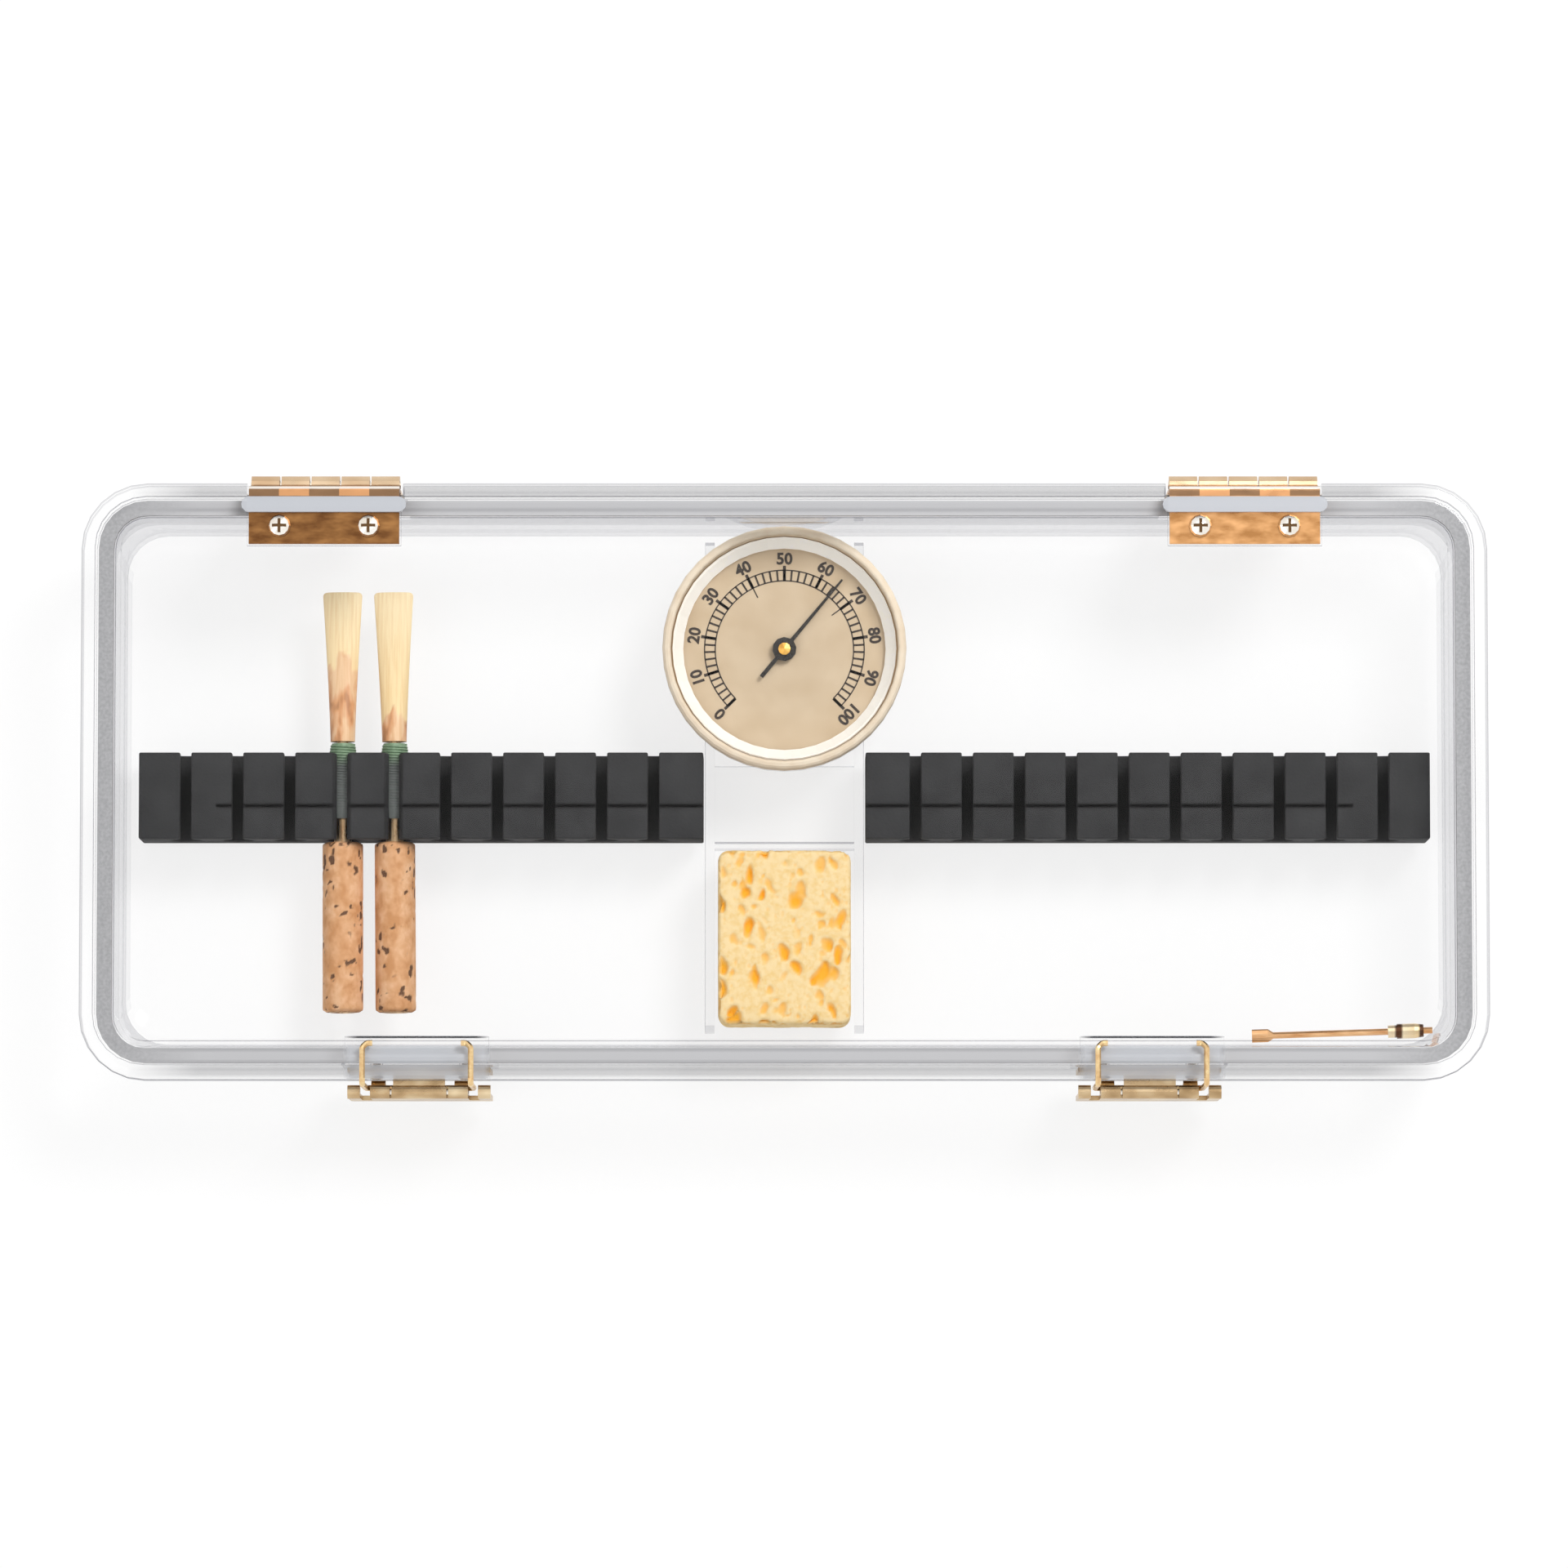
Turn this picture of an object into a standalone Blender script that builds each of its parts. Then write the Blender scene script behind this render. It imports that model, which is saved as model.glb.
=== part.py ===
# Oboe reed case: a clear latched box with slotted foam holders for reeds, a hygrometer and a sponge.
# X runs along the case, +Y points to the hinges, +Z is up. The origin is the middle of the bottom face.

import math

import bmesh
import bpy
from mathutils import Matrix, Vector

MM = 0.001
GAP = 0.3 * MM
OVERRUN = 1.0 * MM
SMOOTH_ANGLE = math.radians(32)
QUARTER = 90

# Case: a tray and a shallow lid that meet at two rounded flanges
CASE_LENGTH = 236.0 * MM
CASE_DEPTH = 100.3 * MM
CASE_CORNER = 11.0 * MM
BASE_HEIGHT = 21.8 * MM
LID_HEIGHT = 5.8 * MM
PARTING_GAP = 0.4 * MM
FLANGE_THICKNESS = 3.0 * MM
RIM_WIDTH = 5.5 * MM
WALL = 2.2 * MM
FLOOR = 2.5 * MM
DRAFT_ENDS = 0.7 * MM
DRAFT_SIDES = 1.0 * MM
COVE_ENDS = 1.7 * MM
COVE_SIDES = 2.95 * MM
COVE_HEIGHT = 4.0 * MM
FLOOR_CORNER = 7.0 * MM
LID_SKIN = 2.4 * MM
LID_LIP = 1.1 * MM
PLATEAU_STEP = 2.45 * MM
PLATEAU_EDGE = 1.2 * MM
CEILING_EDGE = 0.9 * MM

# Gasket: a soft ring in a groove under the lid's rim
GASKET_INSET = 2.9 * MM
GASKET_WIDTH = 2.5 * MM
GASKET_HEIGHT = 1.5 * MM

# Hinges: two brass butt hinges, cranked over the lid's edge
HINGE_INSET = 40.9 * MM
HINGE_WIDTH = 25.2 * MM
HINGE_SETBACK = 0.2 * MM
BARREL_RADIUS = 1.6 * MM
PIN_RADIUS = 0.6 * MM
LEAF_THICKNESS = 0.8 * MM
ROLL_PROUD = 0.15 * MM
LEAF_LENGTH = 10.45 * MM
BASE_LEAF_DROP = 12.5 * MM
HINGE_SCREW_INSET = 5.15 * MM
LID_SCREW_SETBACK = 7.45 * MM
BASE_SCREW_DROP = 8.5 * MM
SCREW_HEAD_RADIUS = 1.9 * MM
SCREW_HEAD_HEIGHT = 1.2 * MM
SCREW_SHANK_RADIUS = 1.0 * MM
SCREW_SLOT_LENGTH = 2.4 * MM
SCREW_SLOT_WIDTH = 0.5 * MM
SCREW_SLOT_DEPTH = 0.7 * MM
LID_SCREW_LENGTH = 4.2 * MM
BASE_SCREW_LENGTH = 8.4 * MM
KNUCKLES = 5
BRIDGE_OVERHANG = 1.2 * MM
BRIDGE_WIDTH = 2.6 * MM
BRIDGE_THICKNESS = 1.1 * MM
BRIDGE_SETBACK = 3.9 * MM
POCKET_DEPTH = 1.0 * MM
NOTCH_SIDE_GAP = 0.5 * MM
PAD_MARGIN = 1.0 * MM
PAD_BOTTOM = 6.0 * MM

# Latches: two brass toggle clasps, each with a lever and a wire bail that hooks in a groove of the lid
LATCH_INSET = 56.7 * MM
LATCH_WIDTH = 24.0 * MM
LATCH_PAD_STEP = 0.6 * MM
LATCH_PLATE_THICKNESS = 0.8 * MM
LATCH_PLATE_DROP = 0.9 * MM
LATCH_PLATE_HEIGHT = 11.7 * MM
LEVER_STANDOFF = 1.7 * MM
LEVER_DROP = 4.3 * MM
LEVER_KNUCKLE_RADIUS = 1.15 * MM
LEVER_PIN_RADIUS = 0.45 * MM
LEVER_LENGTH = 13.2 * MM
LEVER_THICKNESS = 0.8 * MM
MIDDLE_KNUCKLE_WIDTH = 9.2 * MM
BAIL_STANDOFF = 0.85 * MM
BAIL_DROP = 4.5 * MM
BAIL_SPREAD = 18.1 * MM
WIRE_RADIUS = 0.5 * MM
WIRE_BEND = 1.0 * MM
BAIL_RUN_HEIGHT = 0.35 * MM
HOOK_SETBACK = 6.0 * MM
HOOK_DROP = 0.72 * MM
HOOK_BEND = 0.7 * MM
HOOK_STEP = 0.75 * MM
HOOK_TIP = 0.9 * MM
LUG_WIDTH = 2.4 * MM
LUG_RADIUS = 1.3 * MM
SLOT_SIDE_GAP = 0.35 * MM
SLOT_FOOT = 4.6 * MM
KEEPER_GROOVE_LENGTH = 24.0 * MM
KEEPER_GROOVE_BACK = 1.1 * MM
KEEPER_GROOVE_FRONT = 1.8 * MM
KEEPER_GROOVE_DEPTH = 1.1 * MM
RIVET_INSET = 4.5 * MM
RIVET_RISE = 2.8 * MM
RIVET_HEAD_RADIUS = 1.5 * MM
RIVET_HEAD_HEIGHT = 0.7 * MM
RIVET_SHANK_RADIUS = 0.8 * MM
RIVET_DEPTH = 2.4 * MM

# Reed holders: two foam strips with keyhole slots
HOLDER_START = 13.7 * MM
HOLDER_END_GAP = 3.6 * MM
HOLDER_WIDTH = 14.6 * MM
HOLDER_HEIGHT = 11.0 * MM
HOLDER_Y = -1.66 * MM
SLOT_COUNT = 10
SLOT_END_MARGIN = 7.87 * MM
FIRST_SLOT = 22.1 * MM
SLOT_HOLE_RADIUS = 2.7 * MM
SLOT_NECK = 1.9 * MM
SPREAD_MOUTH = 3.1 * MM
SPREAD_NECK = 1.6 * MM
SEAM_Y = -3.4 * MM
SEAM_WIDTH = 0.5 * MM
SEAM_DEPTH = 1.2 * MM
SEAM_STOP = 13.0 * MM

# Reeds: cane blades bound with thread on a brass staple with a cork sleeve
REED_AXIS_HEIGHT = 6.5 * MM
REED_SLOTS = (6, 5)
REED_TURNS = (math.radians(0.25), math.radians(0.5))
CANE_START = 7.8 * MM
CANE_LENGTH = 25.4 * MM
CANE_TIP_WIDTH = 6.8 * MM
CANE_THROAT_WIDTH = 4.2 * MM
CANE_TIP_THICKNESS = 1.5 * MM
CANE_TIP_WALL = 0.35 * MM
CANE_THROAT_WALL = 0.6 * MM
THREAD_LENGTH = 12.8 * MM
THREAD_RADIUS = 2.1 * MM
THREAD_SWELL = 0.25 * MM
STAPLE_END_PROUD = 0.1 * MM
STAPLE_TOP_RADIUS = 0.95 * MM
STAPLE_FOOT_RADIUS = 2.4 * MM
STAPLE_WALL = 0.35 * MM
STAPLE_IN_CANE = 1.4 * MM
CORK_START = -9.3 * MM
CORK_END_GAP = 6.65 * MM
CORK_RADIUS = 3.45 * MM
CORK_EDGE = 0.5 * MM

# Centre carrier: two clear rails with a ring seat for the hygrometer and a pocket for the sponge
RAIL_THICKNESS = 1.6 * MM
RAIL_HEIGHT = 8.2 * MM
RAIL_END_GAP = 3.15 * MM
RAIL_FOOT_CHAMFER = 1.6 * MM
RAIL_FOOT_HEIGHT = 3.2 * MM
SEAT_WALL = 1.3 * MM
SEAT_LIFT = 2.7 * MM
SEAT_CUT_LIFT = 1.9 * MM
CROSS_WALL = 1.2 * MM
CROSS_WALL_Y = -10.3 * MM
WEB_END_Y = 3.6 * MM
WEB_THICKNESS = 1.2 * MM
WEB_DROP = 1.6 * MM

# Hygrometer: a metal cup with a dial, a needle on an arbor, a bimetal coil, a lens and a bezel
BEZEL_GAP = 0.85 * MM
BEZEL_RADIUS = 20.6 * MM
BEZEL_WIDTH = 1.4 * MM
BEZEL_HEIGHT = 4.0 * MM
BEZEL_EDGE = 0.9 * MM
CUP_RADIUS = 18.6 * MM
CUP_WALL = 0.8 * MM
CUP_LEDGE = 1.0 * MM
CUP_DEPTH = 6.3 * MM
CUP_FLANGE = 1.0 * MM
CUP_FLANGE_MARGIN = 0.2 * MM
DIAL_THICKNESS = 0.5 * MM
DIAL_SINK = 0.2 * MM
REHAUT_HEIGHT = 2.0 * MM
REHAUT_INNER_RADIUS = 17.1 * MM
REHAUT_LIP = 0.35 * MM
LENS_THICKNESS = 1.0 * MM
LENS_CROWN = 0.4 * MM
ARBOR_RADIUS = 0.5 * MM
ARBOR_CAP_RADIUS = 1.05 * MM
ARBOR_CAP_HEIGHT = 0.6 * MM
NEEDLE_LENGTH = 15.3 * MM
NEEDLE_TAIL = 6.1 * MM
NEEDLE_HUB_RADIUS = 2.05 * MM
NEEDLE_ROOT_WIDTH = 0.65 * MM
NEEDLE_TIP_WIDTH = 0.34 * MM
NEEDLE_TAIL_WIDTH = 0.7 * MM
NEEDLE_THICKNESS = 0.4 * MM
NEEDLE_LIFT = 0.8 * MM
NEEDLE_TURN = math.radians(-39.7)
COIL_TURNS = 5
COIL_INNER_RADIUS = 1.6 * MM
COIL_PITCH = 1.25 * MM
COIL_THICKNESS = 0.35 * MM
COIL_WIDTH = 1.8 * MM
BRIDGE_PLATE_LENGTH = 26.0 * MM
BRIDGE_PLATE_WIDTH = 4.0 * MM
BRIDGE_PLATE_THICKNESS = 0.8 * MM
POST_WIDTH = 1.4 * MM

# Sponge: a damp pad in the pocket between the rails
SPONGE_END_GAP = 4.15 * MM
SPONGE_SIDE_GAP = 0.5 * MM
SPONGE_HEIGHT = 12.6 * MM
SPONGE_CORNER = 3.2 * MM
SPONGE_EDGE = 2.2 * MM
SPONGE_CROWN = 0.8 * MM
SPONGE_LIFT = 0.6 * MM

# Setting key: a small brass tool that lies along the front wall
KEY_END_INSET = 38.8 * MM
KEY_WALL_INSET = 8.35 * MM
KEY_REST_LIFT = 0.9 * MM
KEY_TURN = math.radians(1.7)
KEY_RISE = math.radians(4.0)
KEY_ROD_RADIUS = 0.55 * MM
KEY_ROD_LENGTH = 23.0 * MM
KEY_BLADE_LENGTH = 3.6 * MM
KEY_BLADE_WIDTH = 2.2 * MM
KEY_BLADE_THICKNESS = 0.8 * MM
KEY_GRIP_RADIUS = 1.25 * MM
KEY_GRIP_LENGTH = 6.0 * MM
KEY_NECK_RADIUS = 1.05 * MM
KEY_NECK_LENGTH = 1.5 * MM

# Steps that set how finely round shapes are drawn
CORNER_STEPS = 6
EDGE_STEPS = 3
COVE_STEPS = 3
BARREL_SIDES = 16
SMALL_SIDES = 10
WIRE_SIDES = 8
CUP_SIDES = 40
CANE_SIDES = 16
COIL_SIDES = 16

# Places that follow from the sizes above
HINGE_X = CASE_LENGTH / 2 - HINGE_INSET
LATCH_X = CASE_LENGTH / 2 - LATCH_INSET
BASE_FLANGE_Z = BASE_HEIGHT - FLANGE_THICKNESS
LID_FOOT_Z = BASE_HEIGHT + PARTING_GAP
LID_TOP_Z = LID_FOOT_Z + LID_HEIGHT
CEILING_Z = LID_TOP_Z - LID_SKIN
EDGE_RADIUS = FLANGE_THICKNESS / 2
HINGE_Y = CASE_DEPTH / 2 - HINGE_SETBACK
HINGE_Z = BASE_HEIGHT + PARTING_GAP / 2
LEAF_INNER_Y = HINGE_Y - BARREL_RADIUS + ROLL_PROUD
LEAF_OUTER_Y = LEAF_INNER_Y + LEAF_THICKNESS
SEAT_FACE_Y = HINGE_Y - BARREL_RADIUS - GAP
POCKET_Z = LID_TOP_Z - POCKET_DEPTH
LEAF_TOP_Z = POCKET_Z + GAP + LEAF_THICKNESS
LEAF_FRONT_Y = HINGE_Y - LEAF_LENGTH
LID_SCREW_Y = HINGE_Y - LID_SCREW_SETBACK
BRIDGE_Y = HINGE_Y - BRIDGE_SETBACK
BRIDGE_LENGTH = HINGE_WIDTH + 2 * BRIDGE_OVERHANG
HINGE_SCREW_SPREAD = HINGE_WIDTH - 2 * HINGE_SCREW_INSET
MOUTH_Y = CASE_DEPTH / 2 - RIM_WIDTH
WALL_Y = MOUTH_Y + WALL
LATCH_PAD_Y = WALL_Y + LATCH_PAD_STEP
LATCH_PLATE_Y = LATCH_PAD_Y + GAP + LATCH_PLATE_THICKNESS
LATCH_PLATE_TOP = BASE_FLANGE_Z - LATCH_PLATE_DROP
LATCH_PLATE_BOTTOM = LATCH_PLATE_TOP - LATCH_PLATE_HEIGHT
LEVER_AXIS_Y = CASE_DEPTH / 2 + LEVER_STANDOFF
LEVER_AXIS_Z = BASE_HEIGHT - LEVER_DROP
BAIL_AXIS_Y = CASE_DEPTH / 2 + BAIL_STANDOFF
BAIL_AXIS_Z = LEVER_AXIS_Z - BAIL_DROP
HOOK_Y = CASE_DEPTH / 2 - HOOK_SETBACK
RIVET_Z = LATCH_PLATE_BOTTOM + RIVET_RISE
LEG_X = BAIL_SPREAD / 2
RIVET_SPREAD = LATCH_WIDTH - 2 * RIVET_INSET
RUN_Z = LID_TOP_Z + BAIL_RUN_HEIGHT + WIRE_RADIUS
HOLDER_FOOT_Z = FLOOR + GAP
HOLDER_TOP_Z = HOLDER_FOOT_Z + HOLDER_HEIGHT
HOLDER_END = CASE_LENGTH / 2 - RIM_WIDTH - HOLDER_END_GAP
SLOT_PITCH = (HOLDER_END - SLOT_END_MARGIN - FIRST_SLOT) / (SLOT_COUNT - 1)
REED_Z = FLOOR + REED_AXIS_HEIGHT
CORK_END = CORK_END_GAP - MOUTH_Y
STAPLE_TOP = CANE_START + STAPLE_IN_CANE
STAPLE_FOOT = CORK_END - STAPLE_END_PROUD
RAIL_OUTER_X = HOLDER_START - GAP
RAIL_INNER_X = RAIL_OUTER_X - RAIL_THICKNESS
RAIL_TOP_Z = HOLDER_FOOT_Z + RAIL_HEIGHT
RAIL_REACH = MOUTH_Y - RAIL_END_GAP
RAIL_FOOT_REACH = RAIL_REACH - RAIL_FOOT_CHAMFER
DIAL_Y = MOUTH_Y - BEZEL_GAP - BEZEL_RADIUS
SPONGE_BACK_Y = CROSS_WALL_Y - 2 * GAP
SPONGE_LENGTH = MOUTH_Y - SPONGE_END_GAP + SPONGE_BACK_Y
KEY_START = CASE_LENGTH / 2 - KEY_END_INSET
KEY_Y = KEY_WALL_INSET - CASE_DEPTH / 2
CUP_FLANGE_Z = RAIL_TOP_Z + GAP
CUP_BOTTOM_Z = CUP_FLANGE_Z - CUP_DEPTH
CUP_TOP_Z = CUP_FLANGE_Z + CUP_FLANGE
CUP_INNER_RADIUS = CUP_RADIUS - CUP_WALL
DIAL_TOP_Z = CUP_TOP_Z - DIAL_SINK
NEEDLE_Z = DIAL_TOP_Z + NEEDLE_LIFT
REHAUT_Z = CUP_TOP_Z + GAP
LENS_Z = REHAUT_Z + REHAUT_HEIGHT + GAP
BEZEL_INNER_RADIUS = BEZEL_RADIUS - BEZEL_WIDTH
KEY_Z = FLOOR + GAP + KEY_REST_LIFT + KEY_BLADE_THICKNESS / 2
COIL_Z = CUP_BOTTOM_Z + CUP_WALL + GAP + BRIDGE_PLATE_THICKNESS + OVERRUN


def remove_objects():
    for item in list(bpy.data.objects):
        bpy.data.objects.remove(item)


def make_material(name, colour, roughness, metallic=0.0, alpha=1.0):
    made = bpy.data.materials.new(name)
    made.use_nodes = True
    shader = made.node_tree.nodes["Principled BSDF"]
    shader.inputs["Base Color"].default_value = (*colour, 1.0)
    shader.inputs["Roughness"].default_value = roughness
    shader.inputs["Metallic"].default_value = metallic
    shader.inputs["Alpha"].default_value = alpha
    return made


def along_x(level, a, b):
    return Vector((level, a, b))


def along_y(level, a, b):
    return Vector((a, level, b))


def along_z(level, a, b):
    return Vector((a, b, level))


def bridge(shape, first, second):
    """Faces between two loops of vertices; a loop of one vertex makes a cone."""
    count = max(len(first), len(second))
    for i in range(count):
        j = (i + 1) % count
        corners = [first[i % len(first)], first[j % len(first)]]
        corners += [second[j % len(second)], second[i % len(second)]]
        shape.faces.new(list(dict.fromkeys(corners)))


def loft(rings, ring_shaped=False):
    """A solid through rings of points, capped at both ends or closed on itself."""
    shape = bmesh.new()
    loops = [[shape.verts.new(point) for point in ring] for ring in rings]
    for first, second in zip(loops, loops[1:]):
        bridge(shape, first, second)
    if ring_shaped:
        bridge(shape, loops[-1], loops[0])
    else:
        for loop in (loops[0], loops[-1]):
            if len(loop) > 2:
                shape.faces.new(loop)
    return shape


def turned(profile, sides, place=Matrix()):
    """A solid turned about Z from (radius, height) points; a profile off the axis makes a ring."""
    rings = []
    for radius, height in profile:
        if radius == 0:
            rings.append([place @ Vector((0, 0, height))])
            continue
        angles = [math.tau * i / sides for i in range(sides)]
        rings.append([place @ Vector((radius * math.cos(a), radius * math.sin(a), height)) for a in angles])
    return loft(rings, ring_shaped=profile[0][0] > 0)


def rod(radius, low, high, sides, place=Matrix()):
    return turned([(0, low), (radius, low), (radius, high), (0, high)], sides, place)


def prism(outline, low, high, along):
    return loft([[along(level, a, b) for a, b in outline] for level in (low, high)])


def box(low, high):
    outline = [(low[0], low[1]), (high[0], low[1]), (high[0], high[1]), (low[0], high[1])]
    return prism(outline, low[2], high[2], along_z)


def arc(centre, radius, start, end, steps):
    """Points of an arc in a plane, with its angles in degrees."""
    points = []
    for i in range(steps + 1):
        angle = math.radians(start + (end - start) * i / steps)
        points.append((centre[0] + radius * math.cos(angle), centre[1] + radius * math.sin(angle)))
    return points


def gathered(*shapes):
    """Several shapes in one mesh."""
    whole = bmesh.new()
    for shape in shapes:
        mesh = bpy.data.meshes.new("shape")
        shape.to_mesh(mesh)
        shape.free()
        whole.from_mesh(mesh)
        bpy.data.meshes.remove(mesh)
    return whole


def add_object(name, shape, finish=None):
    bmesh.ops.recalc_face_normals(shape, faces=shape.faces)
    mesh = bpy.data.meshes.new(name)
    shape.to_mesh(mesh)
    shape.free()
    if finish:
        mesh.materials.append(finish)
    mesh.shade_smooth()
    mesh.set_sharp_from_angle(angle=SMOOTH_ANGLE)
    item = bpy.data.objects.new(name, mesh)
    bpy.context.scene.collection.objects.link(item)
    return item


def shape_with(item, operation, shape):
    """Cuts a shape from an object, or joins it on."""
    order = len(item.modifiers)
    tool = add_object(f"{item.name}_tool_{order}", shape)
    tool.hide_render = True
    tool.display_type = "WIRE"
    modifier = item.modifiers.new(f"{operation}_{order}", "BOOLEAN")
    modifier.operation = operation
    modifier.object = tool
    tool.parent = item


def add_axis(name, location):
    axis = bpy.data.objects.new(name, None)
    axis.location = location
    bpy.context.scene.collection.objects.link(axis)
    return axis


def carry(item, axis):
    """Parents an object to a joint's axis without moving it."""
    item.parent = axis
    item.matrix_parent_inverse = Matrix.Translation(axis.location).inverted()


def place_at(x, y, z, turn=Matrix()):
    return Matrix.Translation((x, y, z)) @ turn


FACE_BACK = Matrix.Rotation(math.radians(-90), 4, "X")
FACE_FRONT = Matrix.Rotation(math.radians(90), 4, "X")
FACE_RIGHT = Matrix.Rotation(math.radians(90), 4, "Y")


def case_ring(inset_x, inset_y, radius, z):
    """A rounded rectangle inset from the case's outer edge."""
    half_x = CASE_LENGTH / 2 - inset_x
    half_y = CASE_DEPTH / 2 - inset_y
    points = []
    for quarter, (sign_x, sign_y) in enumerate(((1, 1), (-1, 1), (-1, -1), (1, -1))):
        centre = (sign_x * (half_x - radius), sign_y * (half_y - radius))
        start = quarter * 90
        points += arc(centre, radius, start, start + 90, CORNER_STEPS)
    return [Vector((x, y, z)) for x, y in points]


def rim_ring(inset, z):
    return case_ring(inset, inset, CASE_CORNER - inset, z)


def flange_edge(foot_z):
    """Rings of a flange's rounded edge, from its underside to its top."""
    rings = []
    for out, up in arc((0, EDGE_RADIUS), EDGE_RADIUS, -90, 90, EDGE_STEPS * 2):
        rings.append(rim_ring(EDGE_RADIUS - out, foot_z + up))
    return rings


def tray_wall(inset, foot_z, top_z):
    """Rings of a drafted wall with a cove at its foot, from its foot to its top."""
    rings = []
    for share in [i / COVE_STEPS for i in range(COVE_STEPS + 1)]:
        run = 1 - math.sin(math.radians(90) * share)
        rise = 1 - math.cos(math.radians(90) * share)
        inset_x = inset + DRAFT_ENDS + COVE_ENDS * run
        inset_y = inset + DRAFT_SIDES + COVE_SIDES * run
        rings.append(case_ring(inset_x, inset_y, FLOOR_CORNER, foot_z + COVE_HEIGHT * rise))
    rings.append(rim_ring(inset, top_z))
    return rings


def hinge_notch(x, foot_z, top_z):
    half = HINGE_WIDTH / 2 + NOTCH_SIDE_GAP
    return box((x - half, SEAT_FACE_Y, foot_z), (x + half, CASE_DEPTH / 2 + OVERRUN, top_z))


def pad(x, width, face_y):
    """A flat pad on the tray's wall, for a hinge at the back or a latch at the front."""
    half = width / 2 + PAD_MARGIN
    root_y = math.copysign(MOUTH_Y + WALL / 4, face_y)
    low_y, high_y = sorted((root_y, face_y))
    return box((x - half, low_y, PAD_BOTTOM), (x + half, high_y, BASE_FLANGE_Z + FLANGE_THICKNESS / 3))


def hinge_xs():
    return (-HINGE_X, HINGE_X)


def latch_xs():
    return (-LATCH_X, LATCH_X)


def pair(x, spread):
    return (x - spread / 2, x + spread / 2)


def add_base_tray(finish):
    rings = tray_wall(RIM_WIDTH - WALL, 0, BASE_FLANGE_Z)
    rings += flange_edge(BASE_FLANGE_Z)
    rings += reversed(tray_wall(RIM_WIDTH, FLOOR, BASE_HEIGHT))
    tray = add_object("base_tray", loft(rings), finish)
    pads = [pad(x, HINGE_WIDTH, SEAT_FACE_Y) for x in hinge_xs()]
    pads += [pad(x, LATCH_WIDTH, -LATCH_PAD_Y) for x in latch_xs()]
    shape_with(tray, "UNION", gathered(*pads))
    cuts = [hinge_notch(x, BASE_FLANGE_Z - OVERRUN, BASE_HEIGHT + OVERRUN) for x in hinge_xs()]
    for x in hinge_xs():
        for screw_x in pair(x, HINGE_SCREW_SPREAD):
            place = place_at(screw_x, SEAT_FACE_Y + OVERRUN, HINGE_Z - BASE_SCREW_DROP, FACE_FRONT)
            depth = SEAT_FACE_Y - MOUTH_Y + WALL + OVERRUN
            cuts.append(rod(SCREW_SHANK_RADIUS + GAP, 0, depth, SMALL_SIDES, place))
    for x in latch_xs():
        for rivet_x in pair(x, RIVET_SPREAD):
            place = place_at(rivet_x, -LATCH_PAD_Y - OVERRUN, RIVET_Z, FACE_BACK)
            depth = RIVET_DEPTH - LATCH_PLATE_THICKNESS + OVERRUN
            cuts.append(rod(RIVET_SHANK_RADIUS + GAP, 0, depth, SMALL_SIDES, place))
    shape_with(tray, "DIFFERENCE", gathered(*cuts))


def lid_rings():
    """Rings from the ceiling, down the lip, round the gasket groove and the flange, up to the top."""
    lip = RIM_WIDTH + LID_LIP
    groove_inner = GASKET_INSET + GASKET_WIDTH + GAP
    groove_outer = GASKET_INSET - GAP
    groove_top = BASE_HEIGHT + GAP + GASKET_HEIGHT + GAP
    rings = [rim_ring(lip + CEILING_EDGE, CEILING_Z), rim_ring(lip, CEILING_Z - CEILING_EDGE)]
    rings += [rim_ring(lip, LID_FOOT_Z), rim_ring(groove_inner, LID_FOOT_Z)]
    rings += [rim_ring(groove_inner, groove_top), rim_ring(groove_outer, groove_top)]
    rings += [rim_ring(groove_outer, LID_FOOT_Z)]
    rings += flange_edge(LID_FOOT_Z)
    rings += [rim_ring(PLATEAU_STEP, LID_FOOT_Z + FLANGE_THICKNESS)]
    for out, up in arc((0, LID_TOP_Z - PLATEAU_EDGE), PLATEAU_EDGE, 0, 90, EDGE_STEPS):
        rings.append(rim_ring(PLATEAU_STEP + PLATEAU_EDGE - out, up))
    return rings


def bridge_bar(x):
    """A stadium-shaped bar of the lid that closes over a hinge leaf."""
    radius = BRIDGE_WIDTH / 2
    reach = BRIDGE_LENGTH / 2 - radius
    outline = arc((x + reach, BRIDGE_Y), radius, -90, 90, CORNER_STEPS)
    outline += arc((x - reach, BRIDGE_Y), radius, 90, 270, CORNER_STEPS)
    return prism(outline, POCKET_Z - LID_SKIN / 4, LEAF_TOP_Z + GAP + BRIDGE_THICKNESS, along_z)


def leaf_pocket(x):
    half = HINGE_WIDTH / 2 + GAP
    low = (x - half, LEAF_FRONT_Y - GAP, POCKET_Z)
    return box(low, (x + half, CASE_DEPTH / 2, LEAF_TOP_Z + GAP))


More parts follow.
